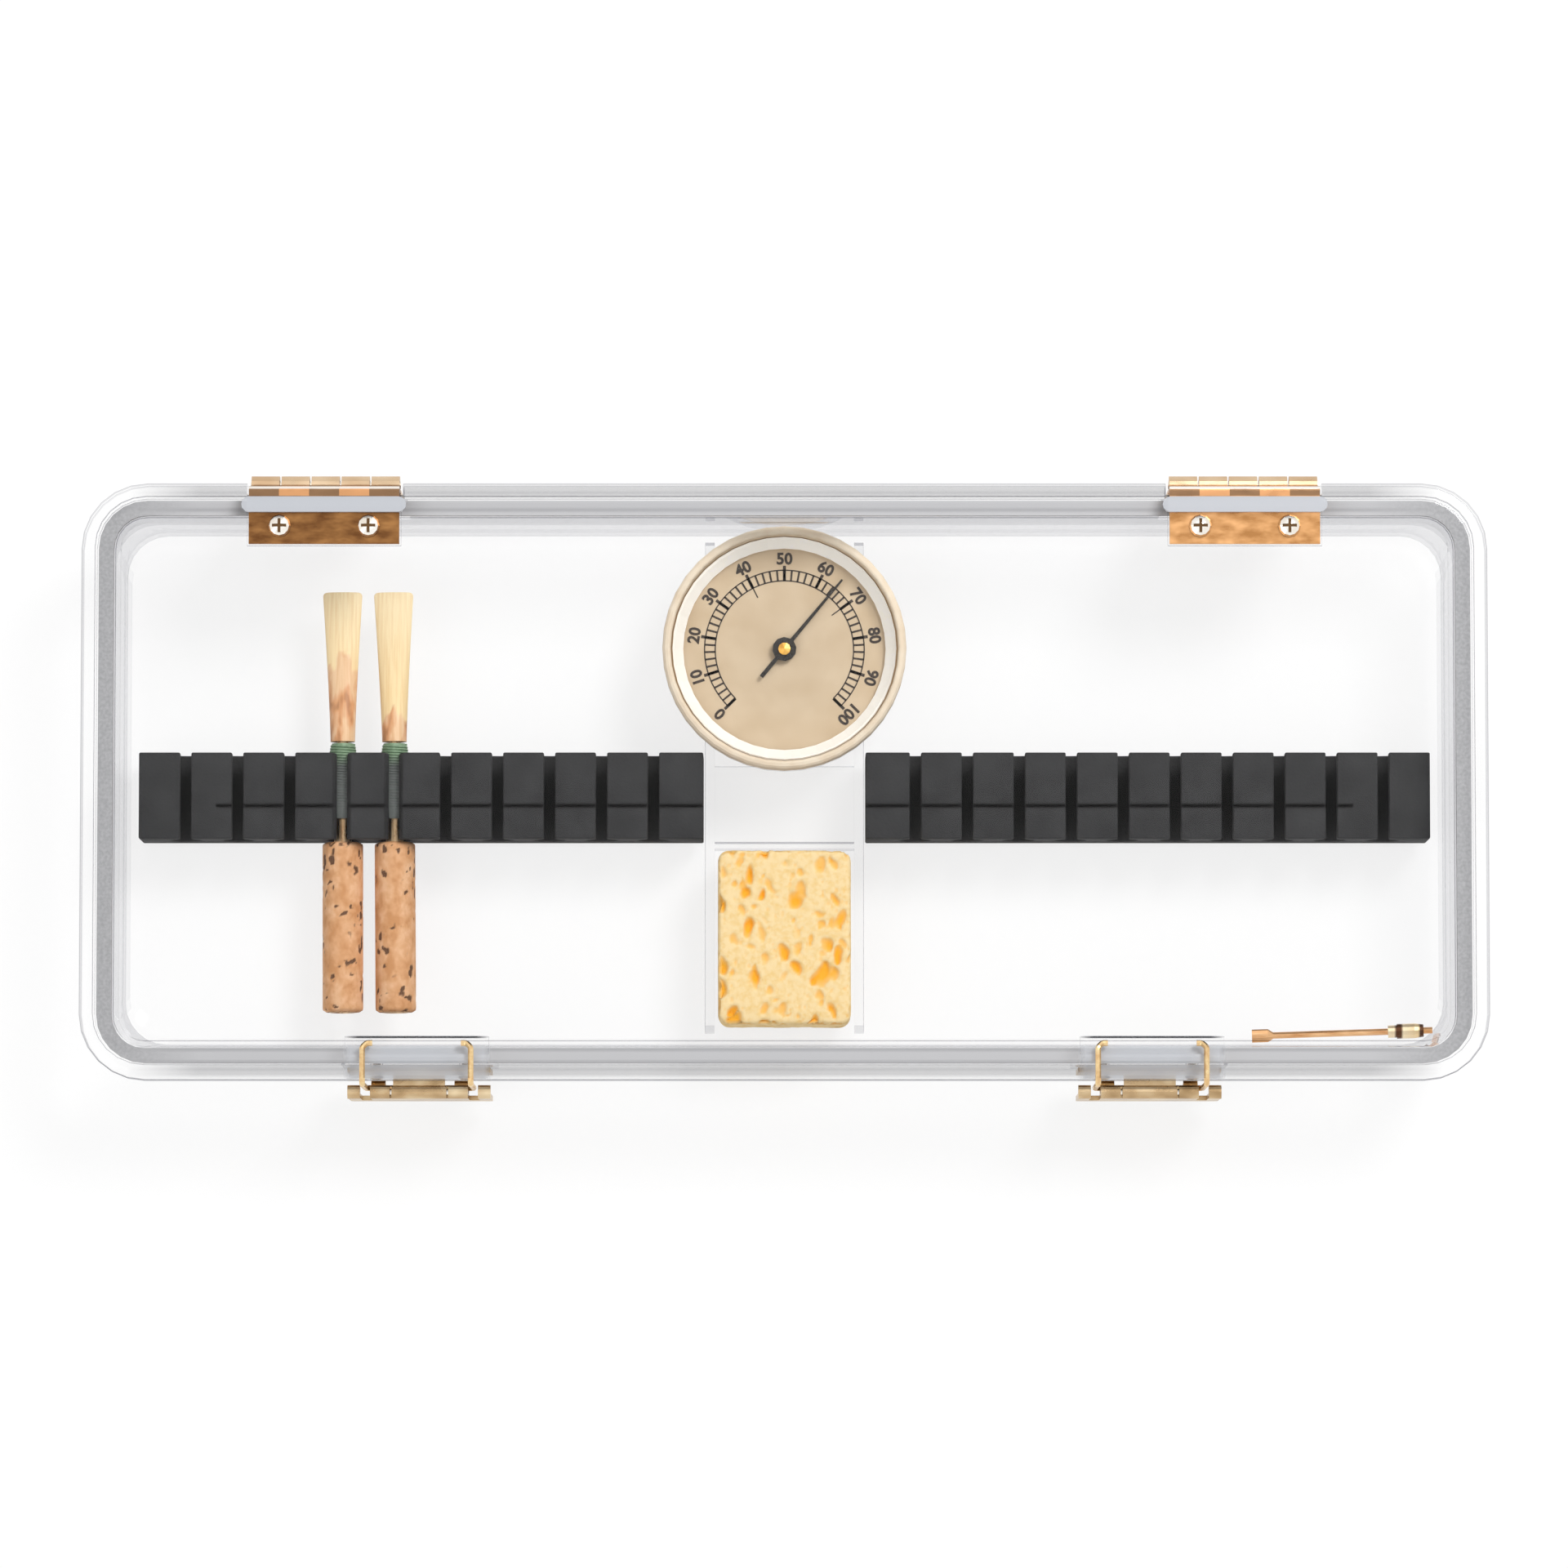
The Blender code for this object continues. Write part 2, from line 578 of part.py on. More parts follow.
def add_lid_shell(finish, axis):
    lid = add_object("lid_shell", loft(lid_rings()), finish)
    carry(lid, axis)
    shape_with(lid, "UNION", gathered(*[bridge_bar(x) for x in hinge_xs()]))
    flange_top = LID_FOOT_Z + FLANGE_THICKNESS + OVERRUN
    cuts = [hinge_notch(x, LID_FOOT_Z - OVERRUN, flange_top) for x in hinge_xs()]
    shape_with(lid, "DIFFERENCE", gathered(*cuts))
    shape_with(lid, "DIFFERENCE", gathered(*[leaf_pocket(x) for x in hinge_xs()]))
    cuts = []
    for x in hinge_xs():
        for screw_x in pair(x, HINGE_SCREW_SPREAD):
            place = place_at(screw_x, LID_SCREW_Y, 0)
            low = CEILING_Z - OVERRUN
            cuts.append(rod(SCREW_SHANK_RADIUS + GAP, low, LID_TOP_Z, SMALL_SIDES, place))
    for x in latch_xs():
        half = KEEPER_GROOVE_LENGTH / 2
        low = (x - half, -HOOK_Y - KEEPER_GROOVE_FRONT, LID_TOP_Z - KEEPER_GROOVE_DEPTH)
        high = (x + half, -HOOK_Y + KEEPER_GROOVE_BACK, LID_TOP_Z + OVERRUN)
        cuts.append(box(low, high))
    shape_with(lid, "DIFFERENCE", gathered(*cuts))


def add_gasket(finish, axis):
    foot = BASE_HEIGHT + GAP
    inner = GASKET_INSET + GASKET_WIDTH
    rings = [rim_ring(inner, foot), rim_ring(GASKET_INSET, foot)]
    rings += [rim_ring(GASKET_INSET, foot + GASKET_HEIGHT), rim_ring(inner, foot + GASKET_HEIGHT)]
    carry(add_object("gasket", loft(rings, ring_shaped=True), finish), axis)


def knuckle_span(number):
    width = HINGE_WIDTH / KNUCKLES
    start = number * width - HINGE_WIDTH / 2
    return (start, start + width)


def knuckles(numbers, radius, margin, reach):
    """Rods along a hinge's axis for the named knuckles, longer by a margin but within a reach."""
    shapes = []
    for number in numbers:
        start, end = knuckle_span(number)
        start = max(start - margin, -reach)
        end = min(end + margin, reach)
        place = place_at(0, HINGE_Y, HINGE_Z, FACE_RIGHT)
        shapes.append(rod(radius, start, end, BARREL_SIDES, place))
    return gathered(*shapes)


def add_leaf(name, outline, own, other, screw_holes, finish):
    """A hinge leaf: a bent plate with rolled knuckles and a bore for the pin."""
    half = HINGE_WIDTH / 2
    leaf = add_object(name, prism(outline, -half, half, along_x), finish)
    shape_with(leaf, "DIFFERENCE", knuckles(other, BARREL_RADIUS + GAP, GAP * 2 / 3, HINGE_WIDTH))
    shape_with(leaf, "UNION", knuckles(own, BARREL_RADIUS, -GAP / 2, half - GAP / 2))
    bore = rod(PIN_RADIUS + GAP, -HINGE_WIDTH, HINGE_WIDTH, BARREL_SIDES,
               place_at(0, HINGE_Y, HINGE_Z, FACE_RIGHT))
    shape_with(leaf, "DIFFERENCE", gathered(bore, *screw_holes))
    return leaf


def add_screw(name, place, length, finish):
    """A domed screw whose head's flat side is at the place given, with its shank below."""
    outline = [(0, -length), (SCREW_SHANK_RADIUS, SCREW_SHANK_RADIUS - length), (SCREW_SHANK_RADIUS, 0)]
    dome = arc((0, 0), 1, 0, QUARTER, EDGE_STEPS)
    outline += [(SCREW_HEAD_RADIUS * a, SCREW_HEAD_HEIGHT * b) for a, b in dome[:-1]]
    outline += [(0, SCREW_HEAD_HEIGHT)]
    screw = add_object(name, turned(outline, SMALL_SIDES + 2, place), finish)
    half, slot = SCREW_SLOT_LENGTH / 2, SCREW_SLOT_WIDTH / 2
    low, high = SCREW_HEAD_HEIGHT - SCREW_SLOT_DEPTH, SCREW_HEAD_HEIGHT + OVERRUN
    arm = [(slot, -slot), (half, -slot), (half, slot)]
    outline = arm + [(-y, x) for x, y in arm] + [(-x, -y) for x, y in arm] + [(y, -x) for x, y in arm]
    cross = prism(outline, low, high, along_z)
    bmesh.ops.transform(cross, matrix=place, verts=cross.verts)
    shape_with(screw, "DIFFERENCE", cross)
    return screw


def hinge_outlines():
    """Sections of the flat base leaf and of the lid leaf, which is cranked over the lid's edge."""
    foot = HINGE_Z - BASE_LEAF_DROP
    plate = [(LEAF_INNER_Y, foot), (LEAF_OUTER_Y, foot)]
    plate += [(LEAF_OUTER_Y, HINGE_Z), (LEAF_INNER_Y, HINGE_Z)]
    bend = arc((LEAF_INNER_Y, LEAF_TOP_Z - LEAF_THICKNESS), LEAF_THICKNESS, 0, QUARTER, COVE_STEPS)
    crank = [(LEAF_INNER_Y, HINGE_Z), (LEAF_OUTER_Y, HINGE_Z)] + bend
    crank += [(LEAF_FRONT_Y, LEAF_TOP_Z), (LEAF_FRONT_Y, LEAF_TOP_Z - LEAF_THICKNESS)]
    crank += [(LEAF_INNER_Y, LEAF_TOP_Z - LEAF_THICKNESS)]
    return plate, crank


def add_hinge(side, x, brass, steel, lid_axis):
    """Each piece is shaped at the middle of the case and moved to its place along the back."""
    odd = range(0, KNUCKLES, 2)
    even = range(1, KNUCKLES, 2)
    plate, crank = hinge_outlines()
    base_places = []
    lid_places = []
    for screw_x in pair(0, HINGE_SCREW_SPREAD):
        base_places.append(place_at(screw_x, LEAF_OUTER_Y + GAP, HINGE_Z - BASE_SCREW_DROP, FACE_BACK))
        lid_places.append(place_at(screw_x, LID_SCREW_Y, LEAF_TOP_Z + GAP))
    depth = GAP + LEAF_THICKNESS + OVERRUN
    radius = SCREW_SHANK_RADIUS + GAP
    base_holes = [rod(radius, -depth, 0, SMALL_SIDES, place) for place in base_places]
    lid_holes = [rod(radius, -depth, 0, SMALL_SIDES, place) for place in lid_places]
    fixed = [add_leaf(f"hinge_{side}_base_leaf", plate, odd, even, base_holes, brass)]
    moving = [add_leaf(f"hinge_{side}_lid_leaf", crank, even, odd, lid_holes, brass)]
    pin = rod(PIN_RADIUS, -HINGE_WIDTH / 2, HINGE_WIDTH / 2, SMALL_SIDES,
              place_at(0, HINGE_Y, HINGE_Z, FACE_RIGHT))
    fixed.append(add_object(f"hinge_{side}_pin", pin, brass))
    for number, (base_place, lid_place) in enumerate(zip(base_places, lid_places), 1):
        fixed.append(add_screw(f"hinge_{side}_base_screw_{number}", base_place, BASE_SCREW_LENGTH, steel))
        moving.append(add_screw(f"hinge_{side}_lid_screw_{number}", lid_place, LID_SCREW_LENGTH, steel))
    for item in fixed + moving:
        item.location.x = x
    for item in moving:
        carry(item, lid_axis)


def lever_outline():
    """The lever's plate from the front: two slots let the bail's legs swing through."""
    half = LATCH_WIDTH / 2
    slot_half = WIRE_RADIUS + SLOT_SIDE_GAP
    foot = LEVER_AXIS_Z - LEVER_LENGTH
    slot_foot = BAIL_AXIS_Z - SLOT_FOOT
    middle = MIDDLE_KNUCKLE_WIDTH / 2 + GAP
    shoulder = LEVER_AXIS_Z - LEVER_KNUCKLE_RADIUS - GAP
    corner = LEVER_THICKNESS
    right = arc((half - corner, foot + corner), corner, -90, 0, COVE_STEPS)
    right += [(half, LEVER_AXIS_Z), (LEG_X + slot_half, LEVER_AXIS_Z), (LEG_X + slot_half, slot_foot)]
    right += [(LEG_X - slot_half, slot_foot), (LEG_X - slot_half, LEVER_AXIS_Z)]
    right += [(middle, LEVER_AXIS_Z), (middle, shoulder)]
    return right + [(-across, up) for across, up in reversed(right)]


def rods_across(spans, radius, out, up, sides):
    """Rods along X at one height, for spans given from the latch's middle."""
    place = place_at(0, -out, up, FACE_RIGHT)
    return gathered(*[rod(radius, low, high, sides, place) for low, high in spans])


def mirrored(low, high):
    return [(low, high), (-high, -low)]


def add_lever(side, brass):
    half = LATCH_WIDTH / 2
    slot_half = WIRE_RADIUS + SLOT_SIDE_GAP
    middle = MIDDLE_KNUCKLE_WIDTH / 2 + GAP
    outer = LEVER_AXIS_Y + LEVER_KNUCKLE_RADIUS - ROLL_PROUD
    lever = add_object(f"latch_{side}_lever", prism(lever_outline(), -outer, -outer + LEVER_THICKNESS, along_y), brass)
    spans = mirrored(middle, LEG_X - slot_half) + mirrored(LEG_X + slot_half, half)
    rolls = rods_across(spans, LEVER_KNUCKLE_RADIUS, LEVER_AXIS_Y, LEVER_AXIS_Z, BARREL_SIDES)
    shape_with(lever, "UNION", rolls)
    lug_end = LEG_X - slot_half
    lugs = []
    for low, high in mirrored(lug_end - LUG_WIDTH, lug_end):
        lug = arc((-BAIL_AXIS_Y, BAIL_AXIS_Z), LUG_RADIUS, 90, -90, SMALL_SIDES // 2)
        root = -outer + LEVER_THICKNESS / 2
        lug += [(root, BAIL_AXIS_Z - LUG_RADIUS), (root, BAIL_AXIS_Z + LUG_RADIUS)]
        lugs.append(prism(lug, low, high, along_x))
    shape_with(lever, "UNION", gathered(*lugs))
    through = [(-LEG_X + WIRE_RADIUS, LEG_X - WIRE_RADIUS)]
    pin_bore = rods_across(through, LEVER_PIN_RADIUS + GAP, LEVER_AXIS_Y, LEVER_AXIS_Z, SMALL_SIDES)
    bail_bore = rods_across([(-LEG_X, LEG_X)], WIRE_RADIUS + GAP, BAIL_AXIS_Y, BAIL_AXIS_Z, SMALL_SIDES)
    shape_with(lever, "DIFFERENCE", gathered(pin_bore, bail_bore))
    return lever


def rounded_path(corners, radii, steps):
    """A path with each inner corner turned into an arc."""
    path = [corners[0]]
    for before, corner, after, radius in zip(corners, corners[1:], corners[2:], radii):
        back = (before - corner).normalized()
        ahead = (after - corner).normalized()
        half = back.angle(ahead) / 2
        middle = corner + (back + ahead).normalized() * radius / math.sin(half)
        start = corner + back * radius / math.tan(half) - middle
        end = corner + ahead * radius / math.tan(half) - middle
        turn = start.angle(end)
        for i in range(steps + 1):
            here = math.sin(turn - turn * i / steps) * start + math.sin(turn * i / steps) * end
            path.append(middle + here / math.sin(turn))
    path.append(corners[-1])
    return path


def wire(path, radius, sides):
    """A round wire along a path, with each section square to the path."""
    rings = []
    side = Vector((0, 0, 1)) if abs((path[1] - path[0]).normalized().z) < 0.9 else Vector((0, 1, 0))
    for i, point in enumerate(path):
        ahead = (path[min(i + 1, len(path) - 1)] - path[max(i - 1, 0)]).normalized()
        side = (side - ahead * side.dot(ahead)).normalized()
        other = ahead.cross(side)
        angles = [math.tau * k / sides for k in range(sides)]
        rings.append([point + radius * (math.cos(a) * side + math.sin(a) * other) for a in angles])
    return loft(rings)


def add_bail(side, brass):
    """A U of wire: its foot turns in the lever's lugs and its two tips hook in the lid's groove."""
    hook_z = RUN_Z - HOOK_DROP
    leg = [Vector((LEG_X, -BAIL_AXIS_Y, BAIL_AXIS_Z)), Vector((LEG_X, -BAIL_AXIS_Y, RUN_Z))]
    leg += [Vector((LEG_X, -HOOK_Y - HOOK_STEP, RUN_Z)), Vector((LEG_X - HOOK_STEP, -HOOK_Y, hook_z))]
    leg += [Vector((LEG_X - HOOK_STEP - HOOK_TIP, -HOOK_Y, hook_z))]
    mirror = [Vector((-point.x, point.y, point.z)) for point in reversed(leg)]
    radii = [HOOK_BEND, HOOK_BEND, WIRE_BEND, WIRE_BEND]
    path = rounded_path(mirror + leg, radii + radii[::-1], COVE_STEPS)
    return add_object(f"latch_{side}_bail", wire(path, WIRE_RADIUS, WIRE_SIDES), brass)


def add_latch_plate(side, brass):
    """The fixed plate, with an arm that reaches under the flange to the middle knuckle."""
    half = LATCH_WIDTH / 2
    plate_low = (-half, -LATCH_PLATE_Y, LATCH_PLATE_BOTTOM)
    plate_high = (half, -LATCH_PLATE_Y + LATCH_PLATE_THICKNESS, LATCH_PLATE_TOP)
    plate = add_object(f"latch_{side}_plate", box(plate_low, plate_high), brass)
    arm_half = MIDDLE_KNUCKLE_WIDTH / 2
    arm_low = (-arm_half + OVERRUN / 4, -LEVER_AXIS_Y, LEVER_AXIS_Z - LATCH_PLATE_THICKNESS / 2)
    arm_high = (-arm_low[0], -LATCH_PLATE_Y + LATCH_PLATE_THICKNESS / 2, arm_low[2] + LATCH_PLATE_THICKNESS)
    spans = [(-arm_half, arm_half)]
    shape_with(plate, "UNION", box(arm_low, arm_high))
    shape_with(plate, "UNION", rods_across(spans, LEVER_KNUCKLE_RADIUS, LEVER_AXIS_Y, LEVER_AXIS_Z, BARREL_SIDES))
    through = [(-LATCH_WIDTH, LATCH_WIDTH)]
    bore = rods_across(through, LEVER_PIN_RADIUS + GAP, LEVER_AXIS_Y, LEVER_AXIS_Z, SMALL_SIDES)
    holes = []
    for rivet_x in pair(0, RIVET_SPREAD):
        place = place_at(rivet_x, -LATCH_PLATE_Y - OVERRUN, RIVET_Z, FACE_BACK)
        holes.append(rod(RIVET_SHANK_RADIUS + GAP, 0, LATCH_PLATE_THICKNESS + 2 * OVERRUN, SMALL_SIDES, place))
    shape_with(plate, "DIFFERENCE", gathered(bore, *holes))
    return plate


def add_rivet(name, place, finish):
    outline = [(0, -RIVET_DEPTH), (RIVET_SHANK_RADIUS, -RIVET_DEPTH), (RIVET_SHANK_RADIUS, 0)]
    dome = arc((0, 0), 1, 0, QUARTER, COVE_STEPS)
    outline += [(RIVET_HEAD_RADIUS * a, RIVET_HEAD_HEIGHT * b) for a, b in dome[:-1]]
    outline += [(0, RIVET_HEAD_HEIGHT)]
    return add_object(name, turned(outline, SMALL_SIDES, place), finish)


def add_latch(side, x, brass):
    """Each piece is shaped at the middle of the case and moved to its place along the front."""
    lever_axis = add_axis(f"latch_{side}_lever_axis", (x, -LEVER_AXIS_Y, LEVER_AXIS_Z))
    bail_axis = add_axis(f"latch_{side}_bail_axis", (x, -BAIL_AXIS_Y, BAIL_AXIS_Z))
    lever = add_lever(side, brass)
    bail = add_bail(side, brass)
    pieces = [lever, bail, add_latch_plate(side, brass)]
    reach = LEG_X - WIRE_RADIUS - SLOT_SIDE_GAP
    pin = rods_across([(-reach, reach)], LEVER_PIN_RADIUS, LEVER_AXIS_Y, LEVER_AXIS_Z, SMALL_SIDES)
    pieces.append(add_object(f"latch_{side}_pin", pin, brass))
    for number, rivet_x in enumerate(pair(0, RIVET_SPREAD), 1):
        place = place_at(rivet_x, -LATCH_PLATE_Y - GAP, RIVET_Z, FACE_FRONT)
        pieces.append(add_rivet(f"latch_{side}_rivet_{number}", place, brass))
    for item in pieces:
        item.location.x = x
    carry(lever, lever_axis)
    carry(bail, bail_axis)


def slot_places():
    """Slot centres of the right-hand holder, counted from the middle of the case."""
    return [FIRST_SLOT + number * SLOT_PITCH for number in range(SLOT_COUNT)]


def holder_outline(sign, necks):
    """A holder's section along its length, with a keyhole for each slot."""
    hole_z = REED_Z
    outline = [(HOLDER_START, HOLDER_TOP_Z)]
    for place, (mouth, neck) in zip(slot_places(), necks):
        half = neck / 2
        opening = math.degrees(math.asin(half / SLOT_HOLE_RADIUS))
        outline += [(place - mouth / 2, HOLDER_TOP_Z)]
        outline += arc((place, hole_z), SLOT_HOLE_RADIUS, 90 + opening, 450 - opening, SMALL_SIDES)
        outline += [(place + mouth / 2, HOLDER_TOP_Z)]
    outline += [(HOLDER_END, HOLDER_TOP_Z), (HOLDER_END, HOLDER_FOOT_Z), (HOLDER_START, HOLDER_FOOT_Z)]
    return [(sign * along, up) for along, up in outline]


def add_holder(side, sign, used_slots, finish):
    spread, plain = (SPREAD_MOUTH, SPREAD_NECK), (SLOT_NECK, SLOT_NECK)
    necks = [spread if number in used_slots else plain for number in range(SLOT_COUNT)]
    low, high = HOLDER_Y - HOLDER_WIDTH / 2, HOLDER_Y + HOLDER_WIDTH / 2
    holder = add_object(f"reed_holder_{side}", prism(holder_outline(sign, necks), low, high, along_y), finish)
    ends = sorted((sign * (HOLDER_START - OVERRUN), sign * (HOLDER_END - SEAM_STOP)))
    seam_low = (ends[0], SEAM_Y - SEAM_WIDTH / 2, HOLDER_TOP_Z - SEAM_DEPTH)
    seam_high = (ends[1], SEAM_Y + SEAM_WIDTH / 2, HOLDER_TOP_Z + OVERRUN)
    shape_with(holder, "DIFFERENCE", box(seam_low, seam_high))


def cane_ring(share, inside):
    """A lens-shaped section of the blades: round at the throat, wide and thin at the tip."""
    wall = CANE_THROAT_WALL + (CANE_TIP_WALL - CANE_THROAT_WALL) * share
    flare = share ** 1.25
    width = CANE_THROAT_WIDTH + (CANE_TIP_WIDTH - CANE_THROAT_WIDTH) * flare
    thickness = CANE_THROAT_WIDTH + (CANE_TIP_THICKNESS - CANE_THROAT_WIDTH) * share
    if inside:
        width -= 2 * wall
        thickness -= 2 * wall
    points = []
    for i in range(CANE_SIDES):
        angle = math.tau * i / CANE_SIDES
        rise = math.sin(angle)
        flat = rise * abs(rise) ** (0.4 * share)
        points.append(Vector((width / 2 * math.cos(angle), CANE_START + CANE_LENGTH * share, thickness / 2 * flat)))
    return points


def staple_radius(y):
    """The staple's outer radius, which widens from the cane to its foot."""
    share = (STAPLE_TOP - y) / (STAPLE_TOP - STAPLE_FOOT)
    return STAPLE_TOP_RADIUS + (STAPLE_FOOT_RADIUS - STAPLE_TOP_RADIUS) * share


def sleeve(stations, sides):
    """A tube round the reed's axis from (place, outer radius, inner radius) stations."""
    outer = [(radius, y) for y, radius, _ in stations]
    inner = [(radius, y) for y, _, radius in reversed(stations)]
    return turned(outer + inner, sides, FACE_BACK)


def add_reed(number, slot, turn, finishes):
    cane_steps = 6
    shares = [i / cane_steps for i in range(cane_steps + 1)]
    cane = loft([cane_ring(share, False) for share in shares]
                + [cane_ring(share, True) for share in reversed(shares)], ring_shaped=True)
    thread_top = CANE_START - GAP
    thread_shares = [0, 0.08, 0.3, 0.6, 0.9, 1]
    thread_swells = [-1, 0, 0.6, 1, 0.8, 0]
    thread = []
    for share, swell in zip(thread_shares, thread_swells):
        y = thread_top - THREAD_LENGTH * share
        thread.append((y, THREAD_RADIUS + THREAD_SWELL * swell, staple_radius(y) + GAP))
    staple = []
    for y in (STAPLE_TOP, STAPLE_FOOT):
        staple.append((y, staple_radius(y), staple_radius(y) - STAPLE_WALL))
    cork = [(CORK_START, CORK_RADIUS - CORK_EDGE), (CORK_START - CORK_EDGE, CORK_RADIUS)]
    cork += [(CORK_END + CORK_EDGE, CORK_RADIUS), (CORK_END, CORK_RADIUS - CORK_EDGE)]
    cork = [(y, radius, staple_radius(y) + GAP) for y, radius in cork]
    shapes = {"cane": cane, "thread": sleeve(thread, CANE_SIDES), "staple": sleeve(staple, CANE_SIDES),
              "cork": sleeve(cork, CANE_SIDES)}
    for piece, shape in shapes.items():
        item = add_object(f"reed_{number}_{piece}", shape, finishes[piece])
        item.location = (-slot_places()[slot], 0, REED_Z)
        item.rotation_euler = (0, 0, turn)


def add_carrier(finish):
    seat_radius = CUP_RADIUS + GAP
    seat_low = HOLDER_FOOT_Z + SEAT_LIFT
    centre = place_at(0, DIAL_Y, 0)
    seat = [(seat_radius, seat_low), (seat_radius + SEAT_WALL, seat_low)]
    seat += [(seat_radius + SEAT_WALL, RAIL_TOP_Z), (seat_radius, RAIL_TOP_Z)]
    carrier = add_object("centre_carrier", turned(seat, CUP_SIDES, centre), finish)
    side = [(RAIL_FOOT_REACH, HOLDER_FOOT_Z), (RAIL_REACH, HOLDER_FOOT_Z + RAIL_FOOT_HEIGHT)]
    side += [(RAIL_REACH, RAIL_TOP_Z)]
    side += [(-y, z) for y, z in reversed(side)]
    rails = [prism(side, low, high, along_x) for low, high in mirrored(RAIL_INNER_X, RAIL_OUTER_X)]
    shape_with(carrier, "UNION", gathered(*rails))
    web_top = RAIL_TOP_Z - WEB_DROP
    web = [(CROSS_WALL_Y, HOLDER_FOOT_Z + GAP), (CROSS_WALL_Y + CROSS_WALL, HOLDER_FOOT_Z + GAP)]
    web += [(CROSS_WALL_Y + CROSS_WALL, web_top - WEB_THICKNESS), (WEB_END_Y, web_top - WEB_THICKNESS)]
    web += [(WEB_END_Y, web_top), (CROSS_WALL_Y, web_top)]
    reach = RAIL_INNER_X + RAIL_THICKNESS / 2
    shape_with(carrier, "UNION", prism(web, -reach, reach, along_x))
    room = rod(seat_radius, HOLDER_FOOT_Z + SEAT_CUT_LIFT, RAIL_TOP_Z + OVERRUN, CUP_SIDES, centre)
    shape_with(carrier, "DIFFERENCE", room)


def add_sponge(finish):
    """A padded block: its sides swell a little and its top is crowned."""
    half_x = RAIL_INNER_X - SPONGE_SIDE_GAP
    half_y = SPONGE_LENGTH / 2
    foot = FLOOR + SPONGE_LIFT
    levels = [(0, 1), (0.12, 0.3), (0.3, 0), (0.7, 0), (0.88, 0.3), (1, 1)]
    crowns = [(0.75, 0.45), (0.45, 0.8), (0.15, 1)]
    rings = []
    for height_share, edge_share in levels:
        inset = SPONGE_EDGE * edge_share
        rings.append((half_x - inset, half_y - inset, foot + (SPONGE_HEIGHT - SPONGE_CROWN) * height_share))
    for size_share, crown_share in crowns:
        top = foot + SPONGE_HEIGHT - SPONGE_CROWN * (1 - crown_share)
        rings.append(((half_x - SPONGE_EDGE) * size_share, (half_y - SPONGE_EDGE) * size_share, top))
    loops = []
    for ring_x, ring_y, z in rings:
        radius = min(SPONGE_CORNER, ring_x * 0.5)
        points = []
        for quarter, (sign_x, sign_y) in enumerate(((1, 1), (-1, 1), (-1, -1), (1, -1))):
            centre = (sign_x * (ring_x - radius), sign_y * (ring_y - radius))
            points += arc(centre, radius, quarter * 90, quarter * 90 + 90, COVE_STEPS)
        loops.append([Vector((a, SPONGE_BACK_Y - half_y + b, z)) for a, b in points])
    add_object("humidifier_sponge", loft(loops), finish)


def coil_point(turn_share, offset):
    """A place on the flat spiral, counted from its inner end."""
    angle = math.tau * COIL_TURNS * turn_share
    radius = COIL_INNER_RADIUS + COIL_PITCH * COIL_TURNS * turn_share + offset
    return Vector((radius * math.cos(angle), DIAL_Y + radius * math.sin(angle), 0))


def add_coil(finish):
    count = COIL_TURNS * COIL_SIDES
    rings = []
    for i in range(count + 1):
        inner = coil_point(i / count, -COIL_THICKNESS / 2)
        outer = coil_point(i / count, COIL_THICKNESS / 2)
        low, high = Vector((0, 0, COIL_Z)), Vector((0, 0, COIL_Z + COIL_WIDTH))
        rings.append([inner + low, outer + low, outer + high, inner + high])
    add_object("hygrometer_coil", loft(rings), finish)
    middle = [coil_point(i / count, 0) for i in range(count + 1)]
    apart = COIL_SIDES * 3 // 4
    least = min((a - b).length for i, a in enumerate(middle) for b in middle[i + apart:])
    print(f"least gap between the coil's turns: {(least - COIL_THICKNESS) / MM:.2f} mm")


def add_needle(finish, axis):
    """A pointer with a round hub and a short wide tail."""
    root, tip, tail = NEEDLE_ROOT_WIDTH / 2, NEEDLE_TIP_WIDTH / 2, NEEDLE_TAIL_WIDTH / 2
    start = math.degrees(math.asin(root / NEEDLE_HUB_RADIUS))
    outline = [(tip, NEEDLE_LENGTH), (-tip, NEEDLE_LENGTH)]
    outline += arc((0, 0), NEEDLE_HUB_RADIUS, 90 + start, 270 - start, SMALL_SIDES // 2)
    outline += [(-tail, -NEEDLE_TAIL), (tail, -NEEDLE_TAIL)]
    outline += arc((0, 0), NEEDLE_HUB_RADIUS, -90 + start, 90 - start, SMALL_SIDES // 2)
    needle = add_object("hygrometer_needle", prism(outline, NEEDLE_Z, NEEDLE_Z + NEEDLE_THICKNESS, along_z), finish)
    hole = rod(ARBOR_RADIUS + GAP, NEEDLE_Z - OVERRUN, NEEDLE_Z + OVERRUN, SMALL_SIDES)
    shape_with(needle, "DIFFERENCE", hole)
    needle.location = (0, DIAL_Y, 0)
    needle.rotation_euler = (0, 0, NEEDLE_TURN)
    carry(needle, axis)


